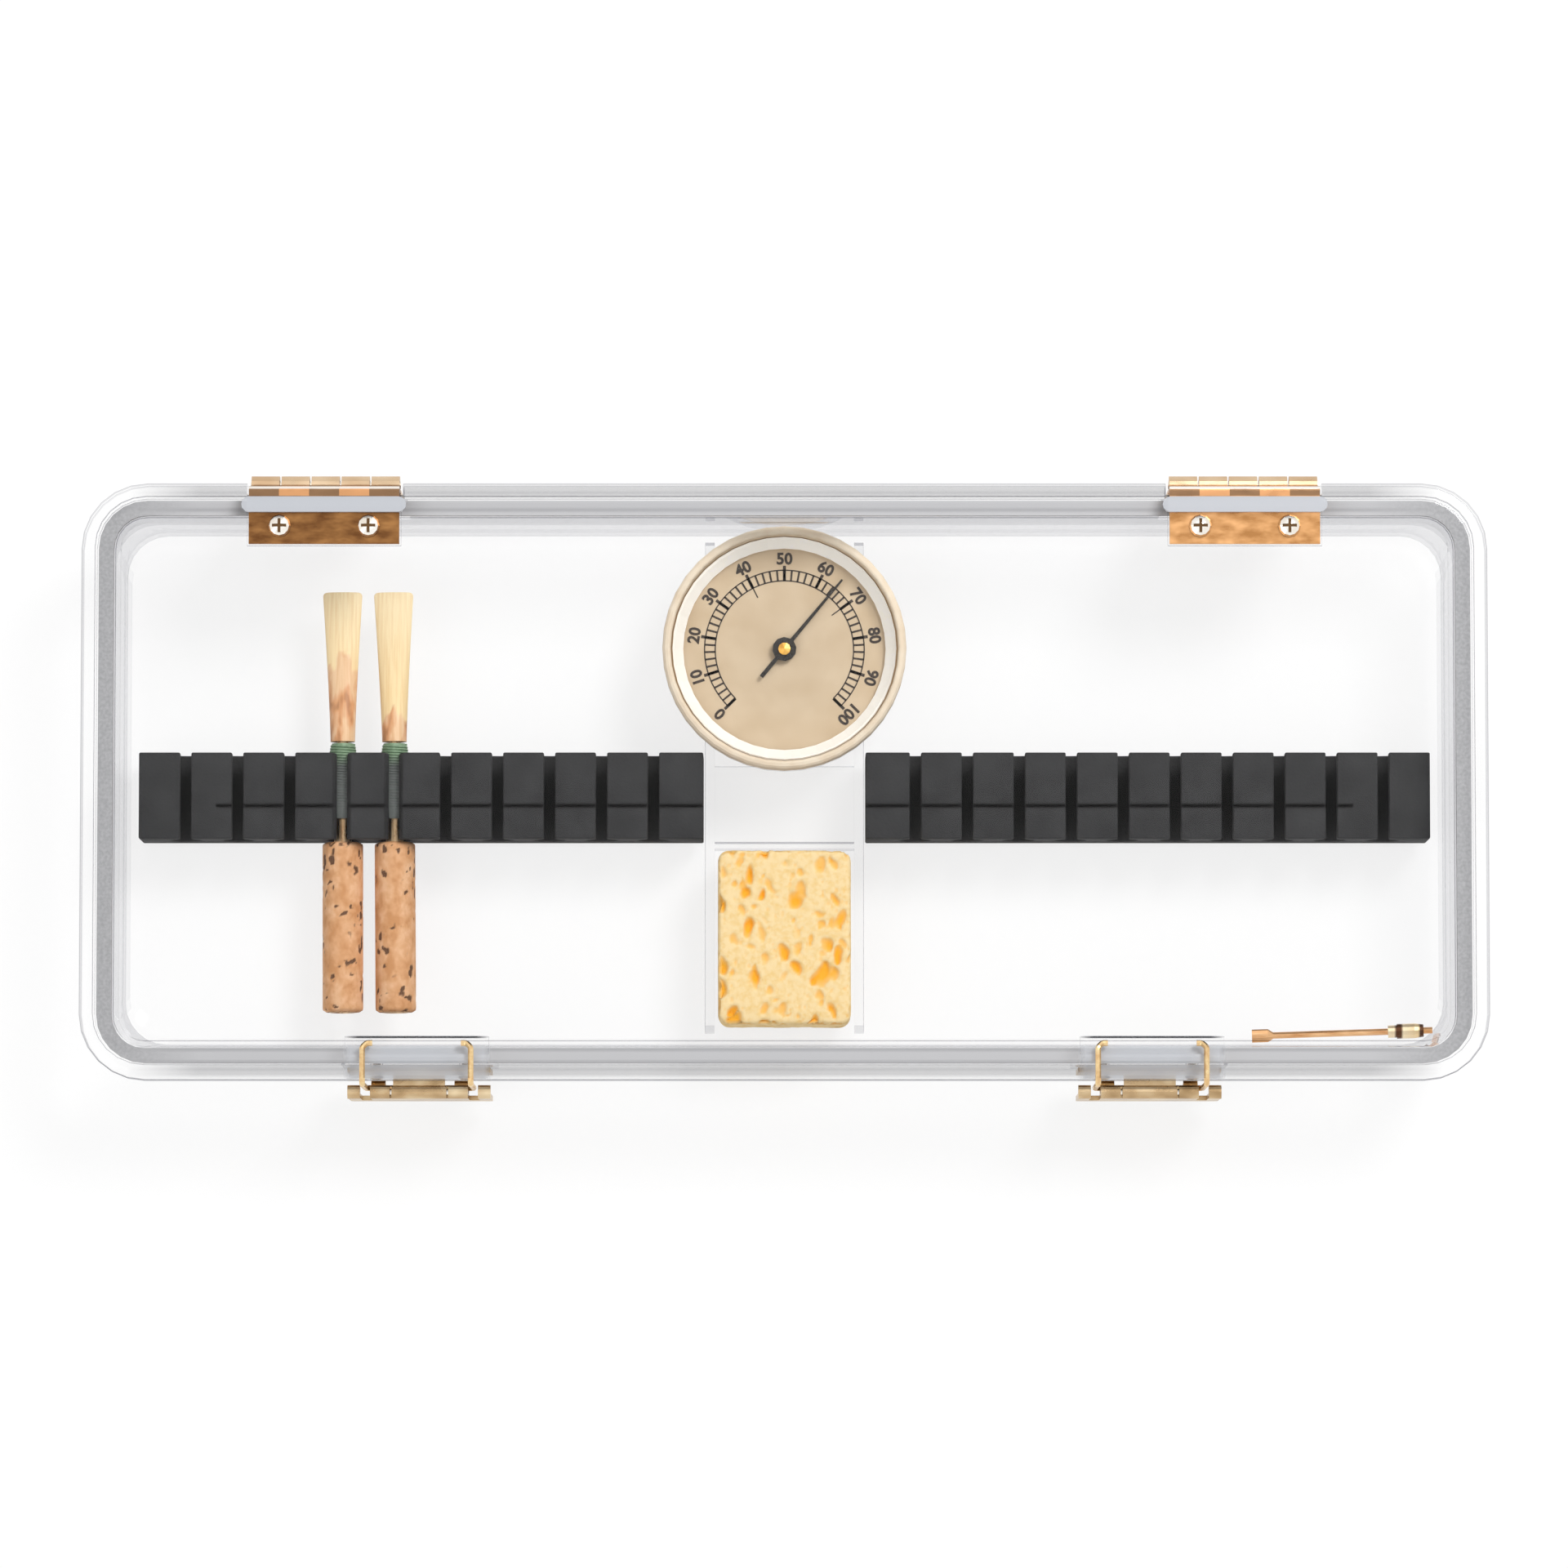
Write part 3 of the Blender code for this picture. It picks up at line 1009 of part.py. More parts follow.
def add_hygrometer(finishes):
    centre = place_at(0, DIAL_Y, 0)
    axis = add_axis("hygrometer_needle_axis", (0, DIAL_Y, NEEDLE_Z))
    ledge = CUP_INNER_RADIUS - CUP_LEDGE
    floor_top = CUP_BOTTOM_Z + CUP_WALL
    dial_foot = DIAL_TOP_Z - DIAL_THICKNESS
    flange_radius = BEZEL_RADIUS - CUP_FLANGE_MARGIN
    cup = [(0, CUP_BOTTOM_Z), (CUP_RADIUS, CUP_BOTTOM_Z), (CUP_RADIUS, CUP_FLANGE_Z)]
    cup += [(flange_radius, CUP_FLANGE_Z), (flange_radius, CUP_TOP_Z), (CUP_INNER_RADIUS, CUP_TOP_Z)]
    cup += [(CUP_INNER_RADIUS, dial_foot - GAP), (ledge, dial_foot - GAP), (ledge, floor_top), (0, floor_top)]
    add_object("hygrometer_case", turned(cup, CUP_SIDES, centre), finishes["case"])
    hole = ARBOR_RADIUS + GAP
    dial_radius = CUP_INNER_RADIUS - GAP
    dial = [(hole, dial_foot), (dial_radius, dial_foot), (dial_radius, DIAL_TOP_Z), (hole, DIAL_TOP_Z)]
    add_object("hygrometer_dial", turned(dial, CUP_SIDES, centre), finishes["dial"])
    rehaut_outer = BEZEL_INNER_RADIUS - GAP
    rehaut = [(REHAUT_INNER_RADIUS, REHAUT_Z), (rehaut_outer, REHAUT_Z)]
    rehaut += [(rehaut_outer, REHAUT_Z + REHAUT_HEIGHT), (rehaut_outer - REHAUT_LIP, REHAUT_Z + REHAUT_HEIGHT)]
    rehaut += [(REHAUT_INNER_RADIUS, REHAUT_Z + REHAUT_LIP)]
    add_object("hygrometer_rehaut", turned(rehaut, CUP_SIDES, centre), finishes["rehaut"])
    lens = [(0, LENS_Z), (rehaut_outer, LENS_Z), (rehaut_outer, LENS_Z + LENS_THICKNESS)]
    lens += [(rehaut_outer / 2, LENS_Z + LENS_THICKNESS + LENS_CROWN * 3 / 4)]
    lens += [(0, LENS_Z + LENS_THICKNESS + LENS_CROWN)]
    add_object("hygrometer_lens", turned(lens, CUP_SIDES, centre), finishes["lens"])
    bezel = [(BEZEL_INNER_RADIUS, REHAUT_Z), (BEZEL_RADIUS, REHAUT_Z)]
    crown = (BEZEL_RADIUS - BEZEL_EDGE, REHAUT_Z + BEZEL_HEIGHT - BEZEL_EDGE)
    bezel += arc(crown, BEZEL_EDGE, 0, 90, EDGE_STEPS)
    inner_crown = (BEZEL_INNER_RADIUS + BEZEL_EDGE / 2, REHAUT_Z + BEZEL_HEIGHT - BEZEL_EDGE / 2)
    bezel += arc(inner_crown, BEZEL_EDGE / 2, 90, 180, COVE_STEPS)
    add_object("hygrometer_bezel", turned(bezel, CUP_SIDES, centre), finishes["bezel"])
    arbor_foot = floor_top + GAP + BRIDGE_PLATE_THICKNESS / 2
    cap_z = NEEDLE_Z + NEEDLE_THICKNESS + GAP
    arbor = [(0, arbor_foot), (ARBOR_RADIUS, arbor_foot), (ARBOR_RADIUS, cap_z), (ARBOR_CAP_RADIUS, cap_z)]
    arbor += [(ARBOR_CAP_RADIUS, cap_z + ARBOR_CAP_HEIGHT / 2), (0, cap_z + ARBOR_CAP_HEIGHT)]
    carry(add_object("hygrometer_arbor", turned(arbor, SMALL_SIDES, centre), finishes["arbor"]), axis)
    add_needle(finishes["needle"], axis)
    add_coil(finishes["coil"])
    add_movement_bridge(floor_top + GAP, dial_foot - GAP, finishes["arbor"])


def add_movement_bridge(foot, top, finish):
    """A plate in the cup with a bearing for the arbor and a post for the coil's outer end."""
    half_x, half_y = BRIDGE_PLATE_LENGTH / 2, BRIDGE_PLATE_WIDTH / 2
    low = (-half_x, DIAL_Y - half_y, foot)
    plate = add_object("hygrometer_bridge", box(low, (half_x, DIAL_Y + half_y, foot + BRIDGE_PLATE_THICKNESS)), finish)
    post_x = COIL_INNER_RADIUS + COIL_PITCH * COIL_TURNS + COIL_THICKNESS / 2 + GAP
    post_low = (post_x, DIAL_Y - POST_WIDTH / 2, foot + BRIDGE_PLATE_THICKNESS / 2)
    shape_with(plate, "UNION", box(post_low, (post_x + POST_WIDTH, DIAL_Y + POST_WIDTH / 2, top)))
    bearing = rod(ARBOR_RADIUS + GAP, foot - OVERRUN, foot + OVERRUN, SMALL_SIDES, place_at(0, DIAL_Y, 0))
    shape_with(plate, "DIFFERENCE", bearing)


def key_ring(along, half_width, half_thickness):
    """A round or flattened section of the key's rod."""
    points = []
    for i in range(SMALL_SIDES):
        angle = math.tau * i / SMALL_SIDES
        points.append(Vector((along, half_width * math.cos(angle), half_thickness * math.sin(angle))))
    return points


def add_setting_key(brass, dark):
    """A rod with a flattened end, and a turned grip at the other end."""
    blade = (KEY_BLADE_WIDTH / 2, KEY_BLADE_THICKNESS / 2)
    round_size = (KEY_ROD_RADIUS, KEY_ROD_RADIUS)
    end = KEY_ROD_LENGTH + KEY_GRIP_LENGTH
    stations = [(0, blade), (KEY_BLADE_LENGTH * 3 / 4, blade), (KEY_BLADE_LENGTH, round_size)]
    stations += [(end + KEY_NECK_LENGTH, round_size)]
    shaft_shape = loft([key_ring(along, *size) for along, size in stations])
    shaft = add_object("setting_key_shaft", shaft_shape, brass)
    start = KEY_ROD_LENGTH
    bore = KEY_ROD_RADIUS + GAP
    grip = [(bore, start), (KEY_NECK_RADIUS, start), (KEY_NECK_RADIUS, start + KEY_NECK_LENGTH)]
    grip += [(KEY_GRIP_RADIUS, start + KEY_NECK_LENGTH), (KEY_GRIP_RADIUS, end - KEY_NECK_LENGTH)]
    grip += [(KEY_NECK_RADIUS, end), (bore, end)]
    knob = add_object("setting_key_grip", turned(grip, SMALL_SIDES + 2, FACE_RIGHT), dark)
    for item in (shaft, knob):
        item.location = (KEY_START, KEY_Y, KEY_Z)
        item.rotation_euler = (0, -KEY_RISE, KEY_TURN)


def build():
    remove_objects()
    clear = make_material("clear_polycarbonate", (0.86, 0.89, 0.92), 0.05, alpha=0.25)
    carrier_clear = make_material("clear_acrylic", (0.80, 0.83, 0.86), 0.08, alpha=0.35)
    silicone = make_material("grey_silicone", (0.49, 0.49, 0.50), 0.6)
    foam = make_material("charcoal_foam", (0.045, 0.045, 0.048), 0.9)
    brass = make_material("brass", (0.72, 0.47, 0.20), 0.28, metallic=1.0)
    bright_brass = make_material("bright_brass", (0.85, 0.66, 0.38), 0.2, metallic=1.0)
    lid_axis = add_axis("lid_hinge_axis", (0, HINGE_Y, HINGE_Z))
    add_base_tray(clear)
    add_lid_shell(clear, lid_axis)
    add_gasket(silicone, lid_axis)
    for side, x in zip(("left", "right"), hinge_xs()):
        add_hinge(side, x, brass, bright_brass, lid_axis)
    for side, x in zip(("left", "right"), latch_xs()):
        add_latch(side, x, brass)
    add_holder("left", -1, REED_SLOTS, foam)
    add_holder("right", 1, (), foam)
    add_carrier(carrier_clear)
    add_sponge(make_material("cellulose_sponge", (0.96, 0.73, 0.38), 0.95))
    reed_finishes = {"cane": make_material("cane", (0.93, 0.74, 0.46), 0.55),
                     "thread": make_material("green_thread", (0.20, 0.31, 0.20), 0.8),
                     "staple": bright_brass,
                     "cork": make_material("cork", (0.72, 0.43, 0.23), 0.85)}
    for number, (slot, turn) in enumerate(zip(REED_SLOTS, REED_TURNS), 1):
        add_reed(number, slot, turn, reed_finishes)
    add_hygrometer({"case": brass, "dial": make_material("dial_enamel", (0.67, 0.51, 0.33), 0.5),
                    "rehaut": make_material("white_ring", (0.88, 0.86, 0.82), 0.3),
                    "lens": carrier_clear, "bezel": bright_brass, "arbor": bright_brass,
                    "needle": make_material("black_lacquer", (0.012, 0.012, 0.012), 0.4),
                    "coil": brass})
    add_setting_key(bright_brass, brass)


build()
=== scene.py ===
import math
import random

import bmesh
import bpy
from mathutils import Matrix, Vector, noise


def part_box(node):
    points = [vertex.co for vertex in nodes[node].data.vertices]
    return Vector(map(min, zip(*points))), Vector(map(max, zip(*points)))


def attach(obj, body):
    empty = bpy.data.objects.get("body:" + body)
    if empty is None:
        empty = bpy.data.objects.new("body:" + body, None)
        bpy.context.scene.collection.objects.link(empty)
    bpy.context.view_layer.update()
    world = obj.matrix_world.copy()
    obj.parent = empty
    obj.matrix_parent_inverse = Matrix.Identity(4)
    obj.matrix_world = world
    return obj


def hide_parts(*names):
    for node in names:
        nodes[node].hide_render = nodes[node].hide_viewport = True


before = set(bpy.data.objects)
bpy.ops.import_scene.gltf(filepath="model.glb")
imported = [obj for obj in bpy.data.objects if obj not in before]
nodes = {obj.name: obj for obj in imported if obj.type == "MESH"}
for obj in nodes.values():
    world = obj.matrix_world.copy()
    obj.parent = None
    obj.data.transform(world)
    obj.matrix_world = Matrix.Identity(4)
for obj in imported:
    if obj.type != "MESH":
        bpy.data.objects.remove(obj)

mm = 0.001
scene = bpy.context.scene
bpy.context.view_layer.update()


# one way to write a colour: sRGB hex, turned to linear here
def linear(hexText):
    parts = [int(hexText[i:i + 2], 16) / 255 for i in (1, 3, 5)]
    return tuple(p / 12.92 if p <= 0.04045 else ((p + 0.055) / 1.055) ** 2.4 for p in parts) + (1.0,)


def grey(level):
    return (level, level, level, 1.0)


# links a socket or sets a value; text is a hex colour
def feed(tree, socket, value):
    if isinstance(value, bpy.types.NodeSocket):
        tree.links.new(value, socket)
    else:
        socket.default_value = linear(value) if isinstance(value, str) else value


# adds a node, then sets its properties and feeds its sockets
def addNode(tree, kind, sockets=None, **settings):
    node = tree.nodes.new(kind)
    for key, value in settings.items():
        setattr(node, key, value)
    for key, value in (sockets or {}).items():
        feed(tree, node.inputs[key], value)
    return node


def newMaterial(name):
    made = bpy.data.materials.new(name)
    made.use_nodes = True
    made.node_tree.nodes.clear()
    return made, made.node_tree


def showSurface(tree, socket):
    addNode(tree, "ShaderNodeOutputMaterial", {"Surface": socket})


def maths(tree, operation, *values):
    return addNode(tree, "ShaderNodeMath", dict(enumerate(values)), operation=operation).outputs[0]


def mapRange(tree, value, fromMin, fromMax, toMin=0.0, toMax=1.0):
    node = addNode(tree, "ShaderNodeMapRange", {"Value": value, "From Min": fromMin, "From Max": fromMax,
                                                "To Min": toMin, "To Max": toMax})
    return node.outputs["Result"]


def axesOf(tree, vector):
    return addNode(tree, "ShaderNodeSeparateXYZ", {0: vector}).outputs


def ramp(tree, source, stops):
    node = addNode(tree, "ShaderNodeValToRGB", {"Fac": source})
    spots = node.color_ramp.elements
    while len(spots) < len(stops):
        spots.new(0.5)
    for spot, (place, colour) in zip(spots, stops):
        spot.position = place
        spot.color = linear(colour) if isinstance(colour, str) else colour
    return node.outputs["Color"]


# ramp stops for a pair of tones
def twoTone(pair, low=0.3, high=0.7):
    return [(low, pair[0]), (high, pair[1])]


def objectCoords(tree, scale=(1, 1, 1)):
    coords = addNode(tree, "ShaderNodeTexCoord").outputs["Object"]
    return addNode(tree, "ShaderNodeMapping", {"Vector": coords, "Scale": scale}).outputs["Vector"]


# 1 on faces that look along one axis of the object itself, so a moved piece keeps its look
def facesAlong(tree, axis, least):
    normal = addNode(tree, "ShaderNodeTexCoord").outputs["Normal"]
    return maths(tree, "GREATER_THAN", axesOf(tree, normal)[axis], least)


def noiseTexture(tree, vector, size, detail=3.0, roughness=0.5):
    node = addNode(tree, "ShaderNodeTexNoise", {"Vector": vector, "Scale": 1 / size, "Detail": detail,
                                                "Roughness": roughness})
    return node.outputs["Fac"]


def ownShare(tree, name):
    return addNode(tree, "ShaderNodeAttribute", attribute_name=name).outputs["Fac"]


def bumpFrom(tree, height, strength, distance):
    node = addNode(tree, "ShaderNodeBump", {"Height": height, "Strength": strength, "Distance": distance})
    return node.outputs["Normal"]


def mixColour(tree, factor, first, second, blend="MIX"):
    node = addNode(tree, "ShaderNodeMix", data_type="RGBA", blend_type=blend)
    sockets = {socket.identifier: socket for socket in (*node.inputs, *node.outputs)}
    for key, value in (("Factor_Float", factor), ("A_Color", first), ("B_Color", second)):
        feed(tree, sockets[key], value)
    return sockets["Result_Color"]


def mixShader(tree, share, first, second):
    return addNode(tree, "ShaderNodeMixShader", {0: share, 1: first, 2: second}).outputs[0]


# the shader of a solid piece, with a bump of the given depth in mm
def showSolid(tree, colour, roughness, height, bump, depth, metallic=0.0, ior=1.5):
    shade = addNode(tree, "ShaderNodeBsdfPrincipled",
                    {"Base Color": colour, "Roughness": roughness, "Metallic": metallic, "IOR": ior,
                     "Normal": bumpFrom(tree, height, bump, depth * mm)})
    showSurface(tree, shade.outputs[0])
    return shade


# lays one more colour over the base colour of a shader
def recolour(tree, shade, share, colour):
    base = shade.inputs["Base Color"]
    tree.links.new(mixColour(tree, share, base.links[0].from_socket, colour), base)


def dress(nodeName, material):
    item = nodes[nodeName]
    item.data.materials.clear()
    item.data.materials.append(material)


print("helpers ready")


# camera: nearly straight down, a little from the front, a long lens from 1.5 m
cameraLook = {"target": (-0.07, -0.48, 23.5), "elevation": 85.5, "distance": 1476.5, "lens": 202.3, "sensor": 36,
              "farthest": 20}
cameraData = bpy.data.cameras.new("photoCamera")
cameraData.lens = cameraLook["lens"]
cameraData.sensor_width = cameraLook["sensor"]
cameraData.clip_end = cameraLook["farthest"]
cameraItem = bpy.data.objects.new("photoCamera", cameraData)
scene.collection.objects.link(cameraItem)
tilt = math.radians(cameraLook["elevation"])
aim = Vector(cameraLook["target"]) * mm
cameraItem.location = aim + Vector((0, -math.cos(tilt), math.sin(tilt))) * cameraLook["distance"] * mm
cameraItem.rotation_euler = (math.pi / 2 - tilt, 0, 0)
scene.camera = cameraItem
scene.view_settings.view_transform = "Standard"
scene.cycles.transparent_max_bounces = 32  # a look through lid, carrier and tray crosses many faces

# light: one wide soft lamp from the back right, a weaker one from the front left, and a pale room
lamps = {
    "keyLamp": {"place": (0.55, 0.62, 1.0), "size": 0.5, "power": 10.0},
    "fillLamp": {"place": (-0.9, -0.5, 1.1), "size": 1.2, "power": 4.0},
}
for lampName, lamp in lamps.items():
    lampData = bpy.data.lights.new(lampName, "AREA")
    lampData.shape = "DISK"
    lampData.size = lamp["size"]
    lampData.energy = lamp["power"]
    lampItem = bpy.data.objects.new(lampName, lampData)
    lampItem.location = lamp["place"]
    lampItem.rotation_euler = Vector(lamp["place"]).to_track_quat("Z", "Y").to_euler()
    scene.collection.objects.link(lampItem)


# 1 for the rays that make the picture: from the camera, from a shiny face or through glass
def pictureRays(tree):
    rays = addNode(tree, "ShaderNodeLightPath").outputs
    seen = maths(tree, "MAXIMUM", rays["Is Camera Ray"], rays["Is Glossy Ray"])
    return maths(tree, "MAXIMUM", seen, rays["Is Transmission Ray"])


# the room lights the case softly, and looks white itself
roomLook = {"ambient": 0.53, "seen": 1.0}
world = bpy.data.worlds.new("paleRoom")
scene.world = world
world.use_nodes = True
tree = world.node_tree
tree.nodes.clear()
backgrounds = [addNode(tree, "ShaderNodeBackground", {"Color": grey(1), "Strength": roomLook[name]}).outputs[0]
               for name in ("ambient", "seen")]
addNode(tree, "ShaderNodeOutputWorld", {"Surface": mixShader(tree, pictureRays(tree), *backgrounds)})

# floor: white paper that still takes the shadow of the case
floorLook = {"paper": "#FCFCFC", "glow": 1.03, "glowShare": 0.76, "size": 6.0, "drop": 0.02}
floorMaterial, tree = newMaterial("whitePaper")
paper = addNode(tree, "ShaderNodeBsdfDiffuse", {"Color": floorLook["paper"]}).outputs[0]
glow = addNode(tree, "ShaderNodeEmission", {"Color": grey(1), "Strength": floorLook["glow"]}).outputs[0]
glowShare = maths(tree, "MULTIPLY", pictureRays(tree), floorLook["glowShare"])
showSurface(tree, mixShader(tree, glowShare, paper, glow))
half = floorLook["size"] / 2
floorMesh = bpy.data.meshes.new("floor")
floorMesh.from_pydata([(x * half, y * half, -floorLook["drop"] * mm)
                       for x, y in ((-1, -1), (1, -1), (1, 1), (-1, 1))], [], [(0, 1, 2, 3)])
floorMesh.materials.append(floorMaterial)
floorItem = bpy.data.objects.new("floor", floorMesh)
scene.collection.objects.link(floorItem)
print("camera, light and floor ready")


# 1 inside a box of Object coordinates, 0 outside, with soft ends; the box is mirrored to both sides of the case;
# a tuple for it in the settings holds half its width, its ends along Y, and the fades, in mm
def sideMask(tree, coords, centre, halfWidth, low, high, fadeAcross=0.1, fadeAlong=0.1):
    axes = axesOf(tree, coords)
    across = maths(tree, "ABSOLUTE", axes["X"])
    shares = []
    for axis, middle, reach, fade in ((across, centre, halfWidth, fadeAcross),
                                      (axes["Y"], (low + high) / 2, (high - low) / 2, fadeAlong)):
        away = maths(tree, "ABSOLUTE", maths(tree, "SUBTRACT", axis, middle * mm))
        shares.append(mapRange(tree, away, (reach - fade) * mm, (reach + fade) * mm, 1.0, 0.0))
    return maths(tree, "MULTIPLY", *shares)


# light share that an upright wall lets through: the front one, with its latches, throws the shadow in the photo
wallLook = {"frontShare": 0.6, "otherShare": 0.97, "frontY": -48.0, "fade": 6.0, "upright": 0.4}
# clear plastic of all pieces: grain of its skin in mm, and where the grey of an edge-on face is full
skinLook = {"bump": 0.05, "depth": 0.2, "edgeFull": 0.93}
# lid: painted grey lines of shade along its rims, painted dark shade in the groove for the keepers, milky hinge
# bars and latch pads, in mm
lidLook = {"barFrom": 28.1, "barFade": 0.1, "barMilk": 0.85, "padMilk": 0.72, "milk": "#C6C9CF",
           "milkRough": 0.35, "latch": 61.3, "groove": (11.0, -43.2, -42.95, 1.2, 0.06),
           "grooveShade": "#8A8A8E", "pads": (11.8, -51.0, -44.5, 0.7, 0.3), "lineReach": 104, "lineFade": 6,
           "upward": 0.3,
           "shadeLines": [(47.2, 49.6, 0.4, "#D4D4D5"), (48.2, 48.6, 0.25, "#EDEDEE"), (44.9, 45.5, 0.25, "#E3E3E4")]}


# an upright wall holds back a little of the lamps' light, so the case throws a faint shadow
def wallTint(tree, coords, face, shadowRay, tint):
    wall = maths(tree, "COMPARE", axesOf(tree, face["Normal"])["Z"], 0.0, wallLook["upright"])
    wall = maths(tree, "MULTIPLY", wall, shadowRay)
    held = mapRange(tree, axesOf(tree, coords)["Y"], wallLook["frontY"] * mm,
                    (wallLook["frontY"] + wallLook["fade"]) * mm, wallLook["frontShare"], wallLook["otherShare"])
    return mixColour(tree, wall, tint, held, "MULTIPLY")


# painted shade: the long rims and the steps in them take grey lines that stand for light bent in the thick plastic,
# and the keeper groove takes a dark line of painted shade
def lidTint(tree, coords, upper, tint):
    for low, high, fade, hexText in lidLook["shadeLines"]:
        for ends in ((low, high), (-high, -low)):
            line = sideMask(tree, coords, 0, lidLook["lineReach"], *ends, lidLook["lineFade"], fade)
            tint = mixColour(tree, maths(tree, "MULTIPLY", line, upper), tint, hexText, "MULTIPLY")
    groove = sideMask(tree, coords, lidLook["latch"], *lidLook["groove"])
    return mixColour(tree, groove, tint, lidLook["grooveShade"], "MULTIPLY")


# the bars over the hinge leaves are textured and look milky, and so do the pads behind the latches
def lidMilk(tree, coords, upper, shadowRay, skin, clear):
    bars = mapRange(tree, axesOf(tree, coords)["Z"], lidLook["barFrom"] * mm,
                    (lidLook["barFrom"] + lidLook["barFade"]) * mm, 0.0, lidLook["barMilk"])
    pads = maths(tree, "MULTIPLY", sideMask(tree, coords, lidLook["latch"], *lidLook["pads"]), upper)
    pads = maths(tree, "MULTIPLY", pads, lidLook["padMilk"])
    milk = maths(tree, "MAXIMUM", bars, pads)
    milk = maths(tree, "MULTIPLY", milk, maths(tree, "SUBTRACT", 1.0, shadowRay))
    frost = addNode(tree, "ShaderNodeBsdfPrincipled", {"Base Color": lidLook["milk"],
                                                       "Roughness": lidLook["milkRough"], "Normal": skin})
    return mixShader(tree, milk, clear, frost.outputs[0])


# clear moulded plastic: light goes straight through, faces seen edge-on look grey, and the skin is glossy
def clearPlastic(name, isLid=False):
    look = clearLook[name]
    made, tree = newMaterial(name)
    coords = objectCoords(tree)
    ripple = noiseTexture(tree, coords, look["ripple"] * mm, 2.0)
    skin = bumpFrom(tree, ripple, skinLook["bump"], skinLook["depth"] * mm)
    face = addNode(tree, "ShaderNodeNewGeometry").outputs
    rays = addNode(tree, "ShaderNodeLightPath").outputs
    facing = addNode(tree, "ShaderNodeLayerWeight", {"Blend": 0.5}).outputs["Facing"]
    tint = ramp(tree, facing, [(0.0, look["face"]), (look["edgeFrom"], look["face"]),
                               (skinLook["edgeFull"], look["edge"]), (1.0, look["rim"])])
    if isLid:
        outside = maths(tree, "SUBTRACT", 1.0, face["Backfacing"])
        upper = maths(tree, "MULTIPLY", facesAlong(tree, "Z", lidLook["upward"]), outside)
        tint = lidTint(tree, coords, upper, tint)
    tint = wallTint(tree, coords, face, rays["Is Shadow Ray"], tint)
    through = addNode(tree, "ShaderNodeBsdfTransparent", {"Color": tint}).outputs[0]
    gloss = addNode(tree, "ShaderNodeBsdfGlossy", {"Color": grey(1), "Roughness": look["rough"], "Normal": skin})
    # only the outer skin shines, and not for lamp light
    dull = maths(tree, "MAXIMUM", rays["Is Shadow Ray"], rays["Is Diffuse Ray"])
    dull = maths(tree, "MAXIMUM", dull, face["Backfacing"])
    fresnel = addNode(tree, "ShaderNodeFresnel", {"IOR": look["ior"], "Normal": skin}).outputs[0]
    share = maths(tree, "MULTIPLY", maths(tree, "SUBTRACT", 1.0, dull), fresnel)
    surface = mixShader(tree, share, through, gloss.outputs[0])
    if isLid:
        surface = lidMilk(tree, coords, upper, rays["Is Shadow Ray"], skin, surface)
    showSurface(tree, surface)
    return made


# plain shiny or dull solids: a colour ramp over noise, with bump and roughness from the same noise
def solidMaterial(name, stops, size, roughness, metallic=0.0, bump=0.1, depth=0.05, stretch=(1, 1, 1), detail=4.0,
                  ior=1.5):
    made, tree = newMaterial(name)
    pattern = noiseTexture(tree, objectCoords(tree, stretch), size * mm, detail)
    rough = mapRange(tree, pattern, 0.3, 0.7, *roughness)
    return made, tree, showSolid(tree, ramp(tree, pattern, stops), rough, pattern, bump, depth, metallic, ior)


# tray and lid: injection moulded polycarbonate from a polished tool, clear, with a faint grey edge; inner carrier:
# cast acrylic with a little brighter edge; lens of the dial: mineral glass; ripples of the skin are in mm
clearLook = {
    "mouldedPolycarbonate": {"face": grey(0.997), "edge": "#D2D2D5", "rim": "#B0B0B4", "edgeFrom": 0.4, "ior": 1.22,
                             "rough": 0.03, "ripple": 9.0},
    "mouldedPolycarbonateLid": {"face": grey(0.997), "edge": "#BBBBBF", "rim": "#9C9CA0", "edgeFrom": 0.4,
                                "ior": 1.22, "rough": 0.03, "ripple": 9.0},
    "clearAcrylic": {"face": grey(0.985), "edge": "#C9C9CD", "rim": "#BBBBBF", "edgeFrom": 0.35, "ior": 1.22,
                     "rough": 0.05, "ripple": 6.0},
    "polishedGlass": {"face": grey(0.997), "edge": "#CCD0D0", "rim": "#C6CBCB", "edgeFrom": 0.5, "ior": 1.15,
                      "rough": 0.0, "ripple": 30.0},
}
dress("base_tray", clearPlastic("mouldedPolycarbonate"))
dress("lid_shell", clearPlastic("mouldedPolycarbonateLid", isLid=True))
dress("centre_carrier", clearPlastic("clearAcrylic"))
dress("hygrometer_lens", clearPlastic("polishedGlass"))
print("clear pieces dressed")

# lacquered brass strip and wire: warm yellow metal, stamped, with a soft brushed grain
brassLook = {"wire": ("#DDB27E", "#F5DCA8"), "screw": ("#EDE4D6", "#FBF8F2"), "cup": ("#B99C79", "#D6BE9E"),
             "tube": ("#B99068", "#E6CBA2"), "arbor": ("#D99A3E", "#EFBF68"), "bezel": ("#EAD6BB", "#F4E5CE"),
             "rod": ("#C98F5B", "#E9BC8C"), "cross": "#6E5338", "crossDepth": 0.35, "straight": 0.9}


def brass(name, pair, roughness, grain=(1, 1, 1), size=1.2):
    return solidMaterial(name, twoTone(pair), size, roughness, metallic=1.0, bump=0.12, depth=0.03, stretch=grain)


drawnWire = brass("drawnBrassWire", brassLook["wire"], (0.18, 0.3))[0]
turnedScrew = brass("turnedBrassScrew", brassLook["screw"], (0.16, 0.3))[0]
drawnTube = brass("drawnBrassTube", brassLook["tube"], (0.22, 0.36), (1, 0.3, 1))[0]
